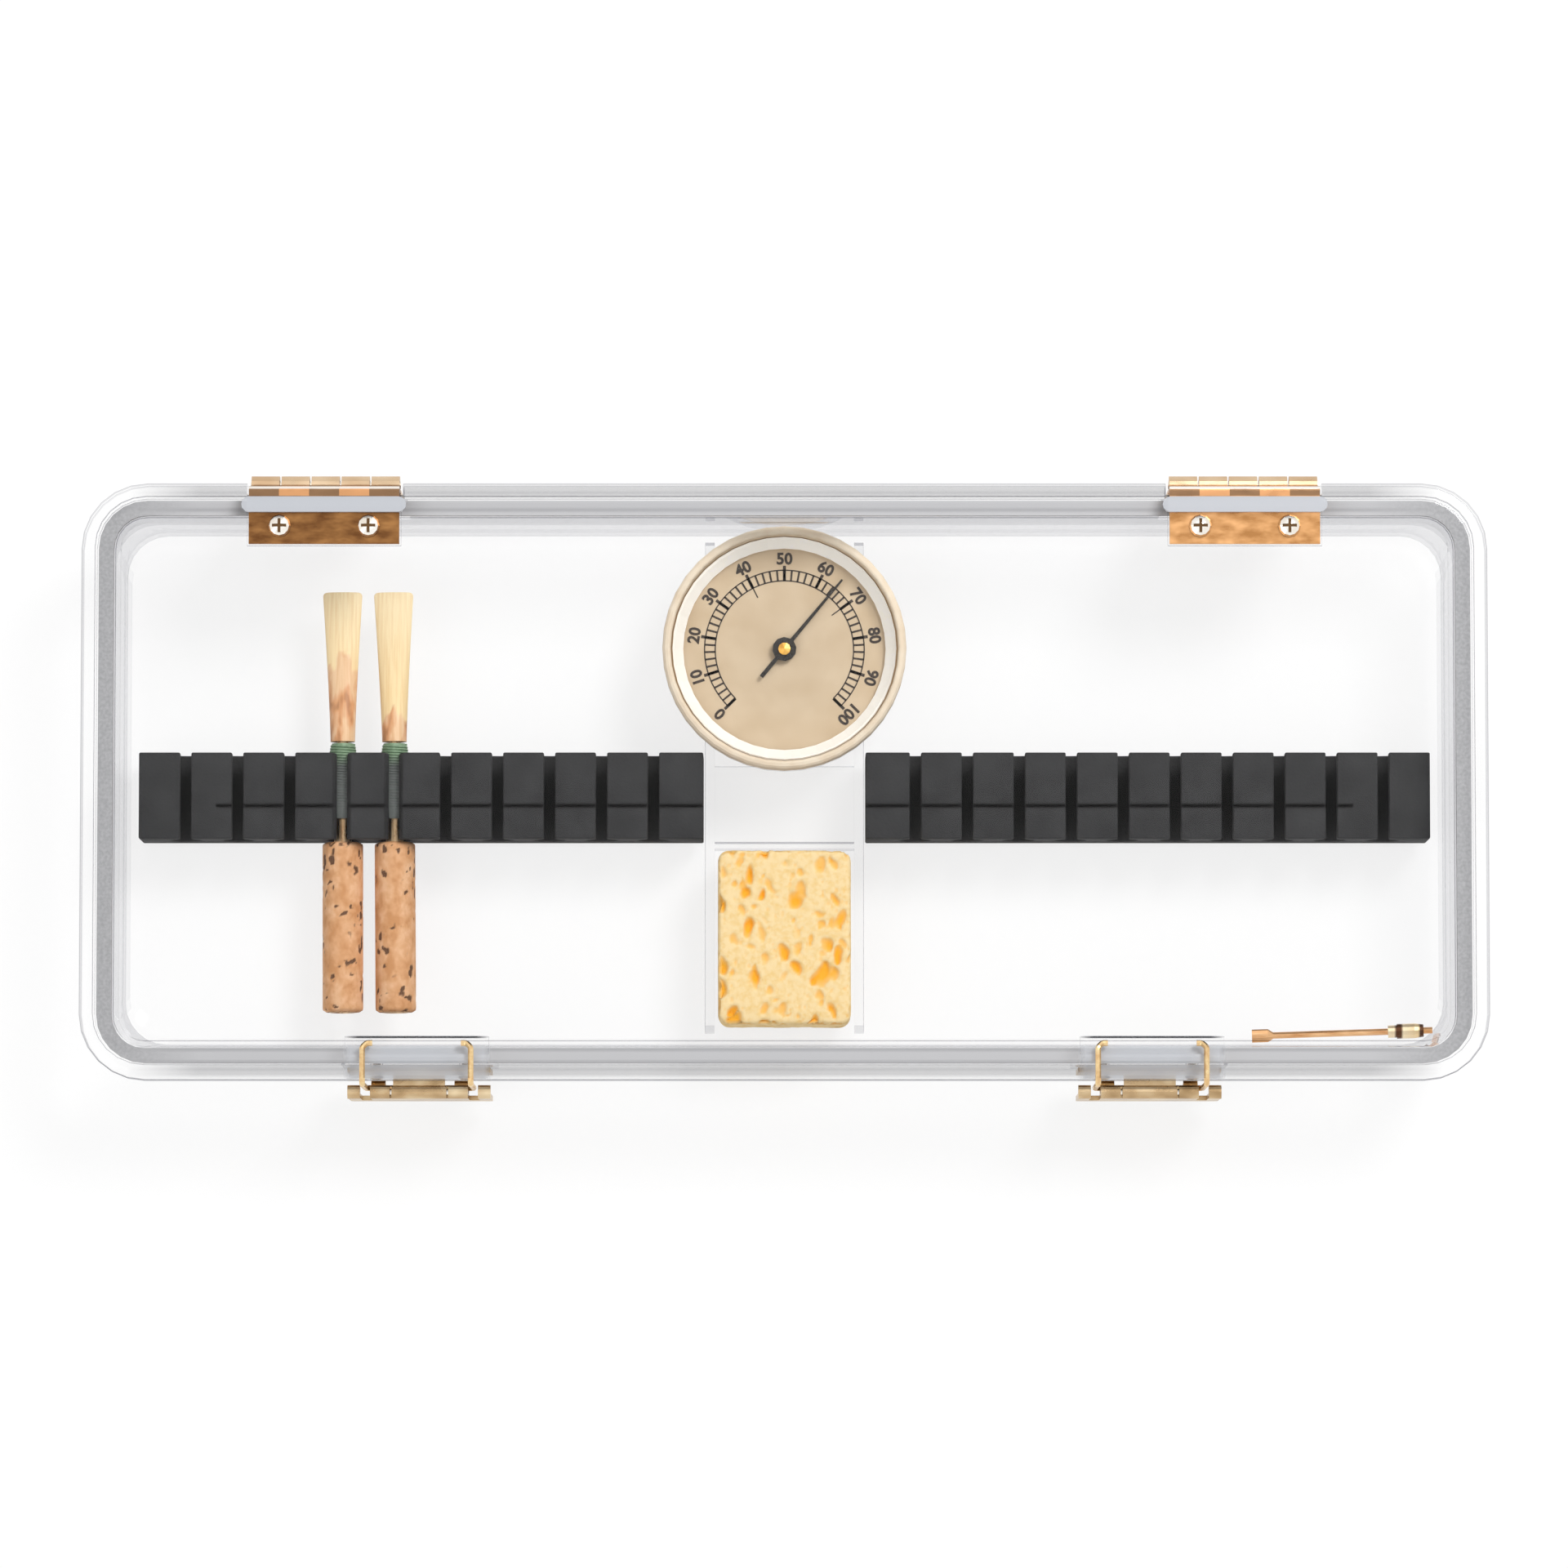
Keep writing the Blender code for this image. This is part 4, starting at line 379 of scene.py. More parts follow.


# screws of the hinges: the same brass, with painted shade dark in the cross of the head, which looks along one axis
def crossHead(kind, axis):
    made, tree, shade = brass(f"turnedBrass_{kind}", brassLook["screw"], (0.16, 0.3))
    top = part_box(f"hinge_left_{kind}_1")[1]["XYZ".index(axis)] - brassLook["crossDepth"] * mm
    sunk = maths(tree, "LESS_THAN", axesOf(tree, objectCoords(tree))[axis], top)
    # painted shade in the recess of the cross
    cross = maths(tree, "MULTIPLY", facesAlong(tree, axis, brassLook["straight"]), sunk)
    recolour(tree, shade, cross, brassLook["cross"])
    return made


screwBrass = {"base_screw": crossHead("base_screw", "Y"), "lid_screw": crossHead("lid_screw", "Z")}
spunCup = brass("spunBrassCup", brassLook["cup"], (0.3, 0.42))[0]
arborCap = brass("gildedArborCap", brassLook["arbor"], (0.35, 0.45))[0]
# bezel: satin painted metal, matt enough to look one even tan
spunBezel = solidMaterial("satinBezel", twoTone(brassLook["bezel"]), 2.5, (0.5, 0.65), bump=0.04, ior=1.3)[0]

# hinge leaves: stamped brass with a brushed streak along the strip; the left leaf's darker tones are painted shade,
# the knuckles are painted tan as a painted highlight, and the bends under them take painted shade and painted
# reflection by turns
leafLook = {"left": ("#71492A", "#A57647"), "right": ("#B9834F", "#DDA975"), "knuckle": ("#CCAC88", "#DDC3A2"),
            "knuckleGrain": 5.0, "bendShade": "#8E6E52", "bendReflection": "#D79E6E", "barrelY": 49.35, "bendY": 47.6,
            "bendZ": 25.5, "end": 64.5, "knuckleWidth": 5.04, "wallZ": 22.0, "shine": (48.8, 49.7, 1, 0.1),
            "shineTint": "#F3ECE3", "upward": 0.3}


def leafBrass(side):
    made, tree, shade = solidMaterial(f"stampedBrassLeaf_{side}", twoTone(leafLook[side], 0.3, 0.72), 1.5,
                                      (0.24, 0.38), metallic=1.0, bump=0.04, depth=0.02, stretch=(0.45, 1, 1),
                                      detail=2.5)
    coords = objectCoords(tree)
    axes = axesOf(tree, coords)
    # painted shade and painted reflection take turns in the bends, from the outer end of the hinge inward
    place = maths(tree, "SUBTRACT", maths(tree, "ABSOLUTE", axes["X"]), leafLook["end"] * mm)
    turns = maths(tree, "FRACT", maths(tree, "DIVIDE", place, 2 * leafLook["knuckleWidth"] * mm))
    paintedBend = mixColour(tree, maths(tree, "GREATER_THAN", turns, 0.5), leafLook["bendShade"], leafLook["bendReflection"])
    behind = maths(tree, "GREATER_THAN", axes["Y"], leafLook["bendY"] * mm)
    above = maths(tree, "GREATER_THAN", axes["Z"], leafLook["bendZ"] * mm)
    recolour(tree, shade, maths(tree, "MULTIPLY", behind, above), paintedBend)
    # the barrel is painted paler, a painted highlight on its top, and the half on the wall takes the same pale tone
    barrel = maths(tree, "GREATER_THAN", axes["Y"], leafLook["barrelY"] * mm)
    wallHalf = maths(tree, "LESS_THAN", axes["Z"], leafLook["wallZ"] * mm)
    fine = noiseTexture(tree, coords, leafLook["knuckleGrain"] * mm, 1.0)
    knuckle = ramp(tree, fine, twoTone(leafLook["knuckle"]))
    recolour(tree, shade, maths(tree, "MAXIMUM", barrel, wallHalf), knuckle)
    # a pale line of light runs along the foot of the rolls
    shine = sideMask(tree, coords, 0, 2 * leafLook["end"], *leafLook["shine"])
    shine = maths(tree, "MULTIPLY", shine, facesAlong(tree, "Z", leafLook["upward"]))
    recolour(tree, shade, shine, leafLook["shineTint"])
    return made


# latch plate and lever: stamped brass, polished; its broad pale and dark patches are painted reflections, and its
# lip is painted palest as a painted highlight
leverLook = {"dark": "#A88A63", "middle": "#C6A981", "pale": "#E8D4AF", "lip": "#FFF8EA", "lipY": -53.3,
             "lipFade": 0.25}
patches = [(0.3, leverLook["dark"]), (0.48, leverLook["middle"]), (0.72, leverLook["pale"])]
stampedPlate, tree, shade = solidMaterial("polishedBrassStrip", patches, 3.6, (0.22, 0.34), metallic=1.0,
                                          bump=0.06, depth=0.03, stretch=(0.6, 1, 1), detail=2.0)
# painted highlight along the lower lip
lip = mapRange(tree, axesOf(tree, objectCoords(tree))["Y"], leverLook["lipY"] * mm,
               (leverLook["lipY"] - leverLook["lipFade"]) * mm)
recolour(tree, shade, lip, leverLook["lip"])

for side in ("left", "right"):
    leafMaterial = leafBrass(side)
    for part in ("lid_leaf", "base_leaf"):
        dress(f"hinge_{side}_{part}", leafMaterial)
    dress(f"hinge_{side}_pin", turnedScrew)
    for number in (1, 2):
        for kind, screwMaterial in screwBrass.items():
            dress(f"hinge_{side}_{kind}_{number}", screwMaterial)
        dress(f"latch_{side}_rivet_{number}", turnedScrew)
    for part in ("plate", "lever"):
        dress(f"latch_{side}_{part}", stampedPlate)
    dress(f"latch_{side}_pin", turnedScrew)
    dress(f"latch_{side}_bail", drawnWire)
dress("hygrometer_bezel", spunBezel)
dress("hygrometer_case", spunCup)
dress("hygrometer_bridge", drawnTube)
dress("hygrometer_coil", drawnTube)
dress("hygrometer_arbor", arborCap)
print("brass dressed")

# extruded silicone cord in the rim: soft grey, slightly dull; its long runs are painted paler, as painted light
cordLook = {"grey": ("#9F9FA1", "#B3B3B5"), "speck": 0.5, "longRunLight": "#C4C4C6", "longRun": (105, -60, 60, 7)}
silicone, tree, shade = solidMaterial("extrudedSilicone", twoTone(cordLook["grey"]), 2.5, (0.45, 0.6), bump=0.08)
speck = ramp(tree, noiseTexture(tree, objectCoords(tree), cordLook["speck"] * mm, 2.0), twoTone(cordLook["grey"]))
longRun = sideMask(tree, objectCoords(tree), 0, *cordLook["longRun"])
# painted light: the long runs are paler
tree.links.new(mixColour(tree, longRun, speck, cordLook["longRunLight"]), shade.inputs["Base Color"])
dress("gasket", silicone)

# dial: satin enamel on brass, a faint mottle
enamel = solidMaterial("satinEnamel", twoTone(("#CDB594", "#D9C3A4")), 6.0, (0.35, 0.5), bump=0.03)[0]
dress("hygrometer_dial", enamel)
# bevelled ring: white painted, glossy; a faint glow stands for the light that the bezel throws back on it
ringLook = {"white": ("#F8F2E6", "#FDF8EE"), "glow": 0.16}
paintedRing, _, shade = solidMaterial("paintedRing", twoTone(ringLook["white"]), 5.0, (0.2, 0.3), bump=0.02)
shade.inputs["Emission Color"].default_value = grey(1)
shade.inputs["Emission Strength"].default_value = ringLook["glow"]
dress("hygrometer_rehaut", paintedRing)
# needle: black lacquer on a thin steel strip
lacquer = solidMaterial("blackLacquer", twoTone(("#17130F", "#2A241D")), 1.5, (0.25, 0.4), bump=0.05)[0]
dress("hygrometer_needle", lacquer)

# cane: golden reed wood in long fibres; glossy bark low down with warm patches, scraped pale towards the tip
caneLook = {"fibre": 0.35, "patch": 2.2, "tip": "#FFEABF", "belly": "#FFE3AE", "bark": "#F6CFA4",
            "warm": "#E5A877", "fleck": "#C48A5C", "scrape": (16, 33), "streak": "#EBD8BE", "streakShare": 0.45,
            "rough": (0.6, 0.38)}
cane, tree = newMaterial("scrapedCane")
fibre = noiseTexture(tree, objectCoords(tree, (1, 0.03, 1)), caneLook["fibre"] * mm)
patches = noiseTexture(tree, objectCoords(tree, (1, 0.4, 1)), caneLook["patch"] * mm, 2.0)
along = mapRange(tree, axesOf(tree, objectCoords(tree))["Y"], *(y * mm for y in caneLook["scrape"]))
scraped = ramp(tree, along, [(0.0, caneLook["belly"]), (1.0, caneLook["tip"])])
barkColour = ramp(tree, patches, [(0.42, caneLook["bark"]), (0.56, caneLook["warm"]), (0.64, caneLook["fleck"])])
barkShare = ownShare(tree, "barkShare")
streak = ramp(tree, fibre, [(0.35, caneLook["streak"]), (0.6, "#FFFFFF")])
base = mixColour(tree, barkShare, scraped, barkColour)
base = mixColour(tree, caneLook["streakShare"], base, streak, "MULTIPLY")
showSolid(tree, base, mapRange(tree, barkShare, 0.0, 1.0, *caneLook["rough"]), fibre, 0.25, 0.08)

# cork: pressed bark, sanded round, with warm grain and dark open pores
corkLook = {"grain": 2.2, "pale": "#ECBB8F", "middle": "#E0A878", "warm": "#D09460", "pore": "#67452C",
            "rough": 0.75}
cork, tree = newMaterial("sandedCork")
grain = noiseTexture(tree, objectCoords(tree, (1, 0.7, 1)), corkLook["grain"] * mm, 4.0, 0.6)
base = ramp(tree, grain, [(0.36, corkLook["warm"]), (0.5, corkLook["middle"]), (0.64, corkLook["pale"])])
dark = ramp(tree, ownShare(tree, "poreShare"), [(0.15, grey(0)), (0.5, grey(1))])
showSolid(tree, mixColour(tree, dark, base, corkLook["pore"]), corkLook["rough"], grain, 0.3, 0.1)

# winding thread: waxed nylon, sage green, painted grey as painted shade where the reed sits in the foam
threadLook = {"green": ("#6C8A69", "#8FAA8A"), "slotShade": "#6F7471", "slotShadeFrom": 5.6, "slotShadeTo": 3.4}
thread, tree, shade = solidMaterial("waxedNylonThread", twoTone(threadLook["green"]), 0.8, (0.4, 0.55), bump=0.2)
# painted shade inside the foam slot
slotShadeShare = mapRange(tree, axesOf(tree, objectCoords(tree))["Y"], threadLook["slotShadeFrom"] * mm,
                threadLook["slotShadeTo"] * mm)
recolour(tree, shade, slotShadeShare, threadLook["slotShade"])
for number in (1, 2):
    dress(f"reed_{number}_cane", cane)
    dress(f"reed_{number}_cork", cork)
    dress(f"reed_{number}_thread", thread)
    dress(f"reed_{number}_staple", drawnTube)

# closed-cell polyethylene foam: charcoal, matt, fine cells of about 0.4 mm; its slots and seam hold little light
foamTone = {"tones": ("#252526", "#333334"), "cell": 0.45, "mottle": 5, "shadow": 0.4, "top": 13.3, "deep": 11.5,
            "slots": (120, -8.7, 5.4), "seam": (95.5, -3.85, -2.95, 0.5, 0.3), "rough": 0.85}
foam, tree = newMaterial("closedCellFoam")
coords = objectCoords(tree)
cells = addNode(tree, "ShaderNodeTexVoronoi", {"Vector": coords, "Scale": 1 / (foamTone["cell"] * mm)})
cells = cells.outputs["Distance"]
base = ramp(tree, noiseTexture(tree, coords, foamTone["mottle"] * mm), twoTone(foamTone["tones"]))
base = mixColour(tree, 0.7, base, ramp(tree, cells, [(0.1, grey(0.75)), (0.6, grey(1.0))]), "MULTIPLY")
deep = mapRange(tree, axesOf(tree, coords)["Z"], foamTone["deep"] * mm, foamTone["top"] * mm, 1.0, 0.0)
deep = maths(tree, "MULTIPLY", deep, sideMask(tree, coords, 0, *foamTone["slots"]))
deep = maths(tree, "MAXIMUM", deep, sideMask(tree, coords, 0, *foamTone["seam"]))
base = mixColour(tree, deep, base, grey(foamTone["shadow"]), "MULTIPLY")
showSolid(tree, base, foamTone["rough"], cells, 0.5, 0.12)
for side in ("left", "right"):
    dress(f"reed_holder_{side}", foam)

# cellulose sponge: pale yellow, open pores darker inside
celluloseLook = {"web": 0.9, "pale": ("#F4D08A", "#FBDFA8"), "pore": "#F9B122", "rough": 0.85}
spongeMaterial, tree = newMaterial("celluloseSponge")
web = noiseTexture(tree, objectCoords(tree), celluloseLook["web"] * mm)
share = ramp(tree, ownShare(tree, "poreDepth"), [(0.05, grey(0)), (0.35, grey(0.55)), (0.8, grey(1))])
base = mixColour(tree, share, ramp(tree, web, twoTone(celluloseLook["pale"], 0.3, 0.6)), celluloseLook["pore"])
showSolid(tree, base, celluloseLook["rough"], web, 0.3, 0.15)

# small key: drawn brass rod, and a knurled grip with two dark collars
keyLook = {"gripFrom": 102.2, "gripTo": 109.7, "rib": 2.4,
           "bands": [(0.0, "#F3DDB8"), (0.12, "#F3DDB8"), (0.17, "#5A3416"), (0.28, "#5A3416"), (0.33, "#F6E2BE"),
                     (0.66, "#F0D3A2"), (0.71, "#4E2B12"), (0.9, "#6B4421"), (1.0, "#D9AC77")]}
keyRod = brass("drawnBrassRod", brassLook["rod"], (0.25, 0.38), (0.3, 2, 2))[0]
keyGrip, tree = newMaterial("knurledBrassGrip")
along = mapRange(tree, axesOf(tree, objectCoords(tree))["X"], keyLook["gripFrom"] * mm, keyLook["gripTo"] * mm)
ribs = addNode(tree, "ShaderNodeTexWave", {"Vector": objectCoords(tree), "Scale": 1 / (keyLook["rib"] * mm)},
               bands_direction="Z")
showSolid(tree, ramp(tree, along, keyLook["bands"]), 0.35, ribs.outputs["Fac"], 0.2, 0.05, 0.7)
dress("setting_key_shaft", keyRod)
dress("setting_key_grip", keyGrip)
print("contents dressed")


# a Geometry Nodes tree with named inputs, and its closing nodes: real geometry with one material
def newTree(name, inputs):
    tree = bpy.data.node_groups.new(name, "GeometryNodeTree")
    tree.interface.new_socket("Geometry", in_out="OUTPUT", socket_type="NodeSocketGeometry")
    for title, kind in inputs.items():
        tree.interface.new_socket(title, in_out="INPUT", socket_type=f"NodeSocket{kind}")
    return tree, addNode(tree, "NodeGroupInput").outputs


def closeTree(tree, geometry, paint):
    solid = addNode(tree, "GeometryNodeRealizeInstances", {"Geometry": geometry})
    painted = addNode(tree, "GeometryNodeSetMaterial", {"Geometry": solid.outputs[0], "Material": paint})
    addNode(tree, "NodeGroupOutput", {"Geometry": painted.outputs[0]})
    return tree


def combine(tree, x=0.0, y=0.0, z=0.0):
    return addNode(tree, "ShaderNodeCombineXYZ", {"X": x, "Y": y, "Z": z}).outputs[0]


# a tree that sets small flat bars round a circle: scale marks of the dial
def circleMarks():
    tree, given = newTree("circleMarks", {"Count": "Int", "Radius": "Float", "Start": "Float", "Step": "Float",
                                          "Width": "Float", "Length": "Float", "Thickness": "Float",
                                          "Centre": "Vector", "Paint": "Material"})
    spots = addNode(tree, "GeometryNodePoints", {"Count": given["Count"]})
    index = addNode(tree, "GeometryNodeInputIndex").outputs[0]
    angle = maths(tree, "MULTIPLY_ADD", index, given["Step"], given["Start"])
    ray = combine(tree, maths(tree, "SINE", angle), maths(tree, "COSINE", angle))
    reach = addNode(tree, "ShaderNodeVectorMath", {0: ray, "Scale": given["Radius"]}, operation="SCALE")
    spot = addNode(tree, "ShaderNodeVectorMath", {0: reach.outputs[0], 1: given["Centre"]}, operation="ADD")
    placed = addNode(tree, "GeometryNodeSetPosition", {"Geometry": spots.outputs[0], "Position": spot.outputs[0]})
    size = combine(tree, given["Width"], given["Length"], given["Thickness"])
    bar = addNode(tree, "GeometryNodeMeshCube", {"Size": size})
    turn = combine(tree, z=maths(tree, "MULTIPLY", angle, -1.0))
    copies = addNode(tree, "GeometryNodeInstanceOnPoints", {"Points": placed.outputs[0],
                                                            "Instance": bar.outputs["Mesh"], "Rotation": turn})
    return closeTree(tree, copies.outputs[0], given["Paint"])


# the mesh of an object with its modifiers and its text made real
def bakedMesh(item):
    return bpy.data.meshes.new_from_object(item.evaluated_get(bpy.context.evaluated_depsgraph_get()))


def linked(name, data):
    made = bpy.data.objects.new(name, data)
    scene.collection.objects.link(made)
    return made


# a bmesh as a new object
def meshObject(name, mesh, material=None):
    made = linked(name, bpy.data.meshes.new(name))
    mesh.to_mesh(made.data)
    mesh.free()
    if material:
        made.data.materials.append(material)
    return made


# runs a tree with the given inputs and keeps the result as a plain mesh at the origin
def growMesh(name, tree, inputs):
    host = linked(name + "Host", bpy.data.meshes.new(name + "Host"))
    modifier = host.modifiers.new("grow", "NODES")
    modifier.node_group = tree
    for socket in tree.interface.items_tree:
        if socket.in_out == "INPUT" and socket.name in inputs:
            modifier[socket.identifier] = inputs[socket.name]
    mesh = bakedMesh(host)
    bpy.data.objects.remove(host)
    return linked(name, mesh)


def joined(name, parts, material):
    mesh = bmesh.new()
    for part in parts:
        mesh.from_mesh(part.data)
        bpy.data.objects.remove(part)
    return meshObject(name, mesh, material)


# part of a flat ring, closed, from one dial angle to the other
def ringBand(name, centre, inner, outer, low, high, start, end, steps):
    mesh = bmesh.new()
    rows = []
    for step in range(steps + 1):
        angle = start + (end - start) * step / steps
        ray = Vector((math.sin(angle), math.cos(angle), 0))
        rows.append([mesh.verts.new(centre + ray * radius + Vector((0, 0, level)))
                     for radius, level in ((inner, low), (outer, low), (outer, high), (inner, high))])
    for first, second in zip(rows, rows[1:]):
        for k in range(4):
            mesh.faces.new((first[k], second[k], second[(k + 1) % 4], first[(k + 1) % 4]))
    mesh.faces.new(rows[0])
    mesh.faces.new(rows[-1][::-1])
    bmesh.ops.recalc_face_normals(mesh, faces=mesh.faces)
    return meshObject(name, mesh)


# a number of the dial, thin raised print, its foot towards the centre
def dialNumber(text, height, centre, radius, angle, thickness):
    curve = bpy.data.curves.new("number" + text, "FONT")
    curve.body = text
    curve.size = height * dialLook["fontSize"]
    curve.align_x = "CENTER"
    curve.align_y = "CENTER"
    curve.extrude = thickness / 2
    curve.offset = height * dialLook["fontWeight"]
    curve.resolution_u = 3
    host = linked("number" + text, curve)
    mesh = bakedMesh(host)
    bpy.data.objects.remove(host)
    # the glyph's caps and sides are welded, and all of them face outward
    welded = bmesh.new()
    welded.from_mesh(mesh)
    bmesh.ops.remove_doubles(welded, verts=welded.verts, dist=0.001 * mm)
    bmesh.ops.recalc_face_normals(welded, faces=welded.faces)
    welded.to_mesh(mesh)
    welded.free()
    ray = Vector((math.sin(angle), math.cos(angle), 0))
    mesh.transform(Matrix.Translation(centre + ray * radius) @ Matrix.Rotation(-angle, 4, "Z"))
    return linked("number" + text, mesh)


# dial print: two thin arcs, a mark every 2, a longer one every 10, and plain numbers from 0 to 100; sizes in mm
dialLook = {"centre": (0, 23.2, 12.1), "inner": 11.7, "outer": 13.5, "line": 0.2, "low": 0.01, "thickness": 0.06,
            "sweep": 270, "minorWidth": 0.32, "majorWidth": 0.5, "majorReach": 0.75, "numberHeight": 1.95,
            "numberRadius": 15.35, "fontSize": 1.4, "fontWeight": 0.045, "longMarks": (40, 70), "longReach": 1.8,
            "arcSteps": 120}
ink = solidMaterial("screenPrintInk", twoTone(("#241B14", "#3D2F24")), 0.6, (0.4, 0.55), bump=0.1)[0]
dialCentre = Vector(dialLook["centre"]) * mm
printLow = dialLook["low"] * mm
printHigh = dialLook["thickness"] * mm
printMiddle = dialCentre + Vector((0, 0, (printLow + printHigh) / 2))
sweep = math.radians(dialLook["sweep"])
marks = circleMarks()
bandMiddle = (dialLook["inner"] + dialLook["outer"]) / 2
bandWidth = dialLook["outer"] - dialLook["inner"]
longRadius = dialLook["inner"] - dialLook["longReach"] / 2
# name, how many, first place on the scale and steps on it, then radius, width and length
markRows = [
    ("minorMarks", 51, 0, 50, bandMiddle, dialLook["minorWidth"], bandWidth),
    ("majorMarks", 11, 0, 10, bandMiddle + dialLook["majorReach"] / 2, dialLook["majorWidth"],
     bandWidth + dialLook["majorReach"]),
]
for value in dialLook["longMarks"]:
    markRows.append(("longMark", 1, value / 100, 1, longRadius, dialLook["line"], dialLook["longReach"]))
printParts = []
for rowName, count, start, gaps, radius, width, length in markRows:
    inputs = {"Count": count, "Radius": radius * mm, "Start": -sweep / 2 + sweep * start, "Step": sweep / gaps,
              "Width": width * mm, "Length": length * mm, "Thickness": printHigh - printLow,
              "Centre": printMiddle, "Paint": ink}
    printParts.append(growMesh(rowName, marks, inputs))
for radius in (dialLook["inner"], dialLook["outer"]):
    printParts.append(ringBand("scaleArc", dialCentre, (radius - dialLook["line"] / 2) * mm,
                               (radius + dialLook["line"] / 2) * mm, printLow, printHigh, -sweep / 2, sweep / 2,
                               dialLook["arcSteps"]))
for value in range(0, 101, 10):
    printParts.append(dialNumber(str(value), dialLook["numberHeight"] * mm, printMiddle,
                                 dialLook["numberRadius"] * mm, -sweep / 2 + sweep * value / 100,
                                 printHigh - printLow))
dialPrint = joined("dial_print", printParts, ink)
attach(dialPrint, "base")
print("dial printed")


# a closed copy of a CAD node's mesh: its loose triangles merged and flat faces joined
def closedCopy(name, nodeName):
    mesh = bmesh.new()
    mesh.from_mesh(nodes[nodeName].data)
    bmesh.ops.remove_doubles(mesh, verts=mesh.verts, dist=0.002 * mm)
    bmesh.ops.dissolve_limit(mesh, angle_limit=math.radians(1), verts=mesh.verts, edges=mesh.edges)
    return meshObject(name, mesh)


# bakes an object's modifiers into a new plain mesh
def settled(item, material):
    mesh = bakedMesh(item)
    item.modifiers.clear()
    item.data = mesh
    mesh.materials.append(material)


def smoothed(item, sharpAngle):
    item.data.shade_smooth()
    item.data.set_sharp_from_angle(angle=math.radians(sharpAngle))


# foam holders: the cut block with its edges a little rounded by the knife
foamLook = {"edge": 0.28, "segments": 2, "sharp": 50, "smooth": 35, "fill": 1.0}
for side in ("left", "right"):
    block = closedCopy(f"foam_block_{side}", f"reed_holder_{side}")
    bevel = block.modifiers.new("edge", "BEVEL")
    bevel.width = foamLook["edge"] * mm
    bevel.segments = foamLook["segments"]
    bevel.limit_method = "ANGLE"
    bevel.angle_limit = math.radians(foamLook["sharp"])
    settled(block, foam)
    smoothed(block, foamLook["smooth"])
    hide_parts(f"reed_holder_{side}")
    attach(block, "base")
print("foam cut")

# humidifier sponge: a cut block of cellulose with pores of three sizes, each with its spacing in mm, the share
# that is open and the reach within a cell; the other sizes are in mm too
spongeLook = {"voxel": 0.3, "big": (3.0, 0.9, 0.5), "mid": (1.9, 0.9, 0.46), "small": (1.1, 0.6, 0.45),
              "depths": (0.9, 0.5, 0.2), "tints": (1.0, 0.55, 0.25), "wave": 0.12, "waveCell": 3.5, "warp": 0.9,
              "warpCell": 2.1, "corner": 2.0, "edge": 0.9, "stretch": 0.7, "fill": 0.9, "slim": 0.05}


def openPore(spot, cell, share, reach):
    distances, centres = noise.voronoi(spot / cell)
    random.seed(round(centres[0].x * 97.3, 2) + round(centres[0].y * 31.7, 2) + round(centres[0].z * 11.9, 2))
    if random.random() > share:
        return 0.0
    radius = reach * random.uniform(0.45, 1.0)
    return max(0.0, 1 - (distances[0] / radius) ** 2)


# a sideways shift that keeps the pores from looking round
def warped(spot, shift, amount):
    return Vector((noise.noise(spot), noise.noise(spot + Vector(shift)), 0)) * amount


# how deep the skin of the sponge is cut at a spot, in mm, and how open its tint is there
def poreCut(spot):
    warp = warped(spot / spongeLook["warpCell"], (9, 4, 2), spongeLook["warp"])
    pores = (openPore(spot + warp, *spongeLook["big"]),
             openPore(spot + warp + Vector((17, 5, 8)), *spongeLook["mid"]),
             openPore(spot + Vector((7.1, 3.3, 1.9)), *spongeLook["small"]))
    depth = sum(pore * share for pore, share in zip((pores[0] ** 0.7, *pores[1:]), spongeLook["depths"]))
    tint = sum(pore * share for pore, share in zip((pores[0] ** 0.8, *pores[1:]), spongeLook["tints"]))
    wave = 0.5 + 0.5 * noise.noise(spot / spongeLook["waveCell"])
    return depth + spongeLook["slim"] + spongeLook["wave"] * wave, min(1.0, tint)


# a block with small rounded edges, in the room of its solid
def roundedBlock(low, high, corner, edge):
    mesh = bmesh.new()
    bmesh.ops.create_cube(mesh, size=1)
    bmesh.ops.transform(mesh, verts=mesh.verts,
                        matrix=Matrix.Translation((low + high) / 2) @ Matrix.Diagonal((*(high - low), 1)))
    upright = [line for line in mesh.edges if abs(line.verts[0].co.z - line.verts[1].co.z) > mm]
    bmesh.ops.bevel(mesh, geom=upright, offset=corner, segments=6, affect="EDGES", profile=0.5)
    rims = [line for line in mesh.edges if abs(line.verts[0].co.z - line.verts[1].co.z) < 0.1 * mm
            and line.calc_face_angle(0) > 1]
    bmesh.ops.bevel(mesh, geom=rims, offset=edge, segments=4, affect="EDGES", profile=0.5)
    return mesh


low, high = (Vector(corner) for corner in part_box("humidifier_sponge"))
sponge = meshObject("sponge_block", roundedBlock(low, high, spongeLook["corner"] * mm, spongeLook["edge"] * mm))
remesh = sponge.modifiers.new("grid", "REMESH")
remesh.mode = "VOXEL"
remesh.voxel_size = spongeLook["voxel"] * mm
settled(sponge, spongeMaterial)
mesh = bmesh.new()
mesh.from_mesh(sponge.data)
mesh.normal_update()
depthLayer = mesh.verts.layers.float.new("poreDepth")
moves = []
for vert in mesh.verts:
    spot = vert.co / mm
    depth, vert[depthLayer] = poreCut(Vector((spot.x, spot.y * spongeLook["stretch"], spot.z)))
    moves.append(-vert.normal * depth * mm)
for vert, move in zip(mesh.verts, moves):
    vert.co += move
mesh.to_mesh(sponge.data)
mesh.free()
sponge.data.shade_smooth()
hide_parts("humidifier_sponge")
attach(sponge, "base")
print("sponge", len(sponge.data.polygons))


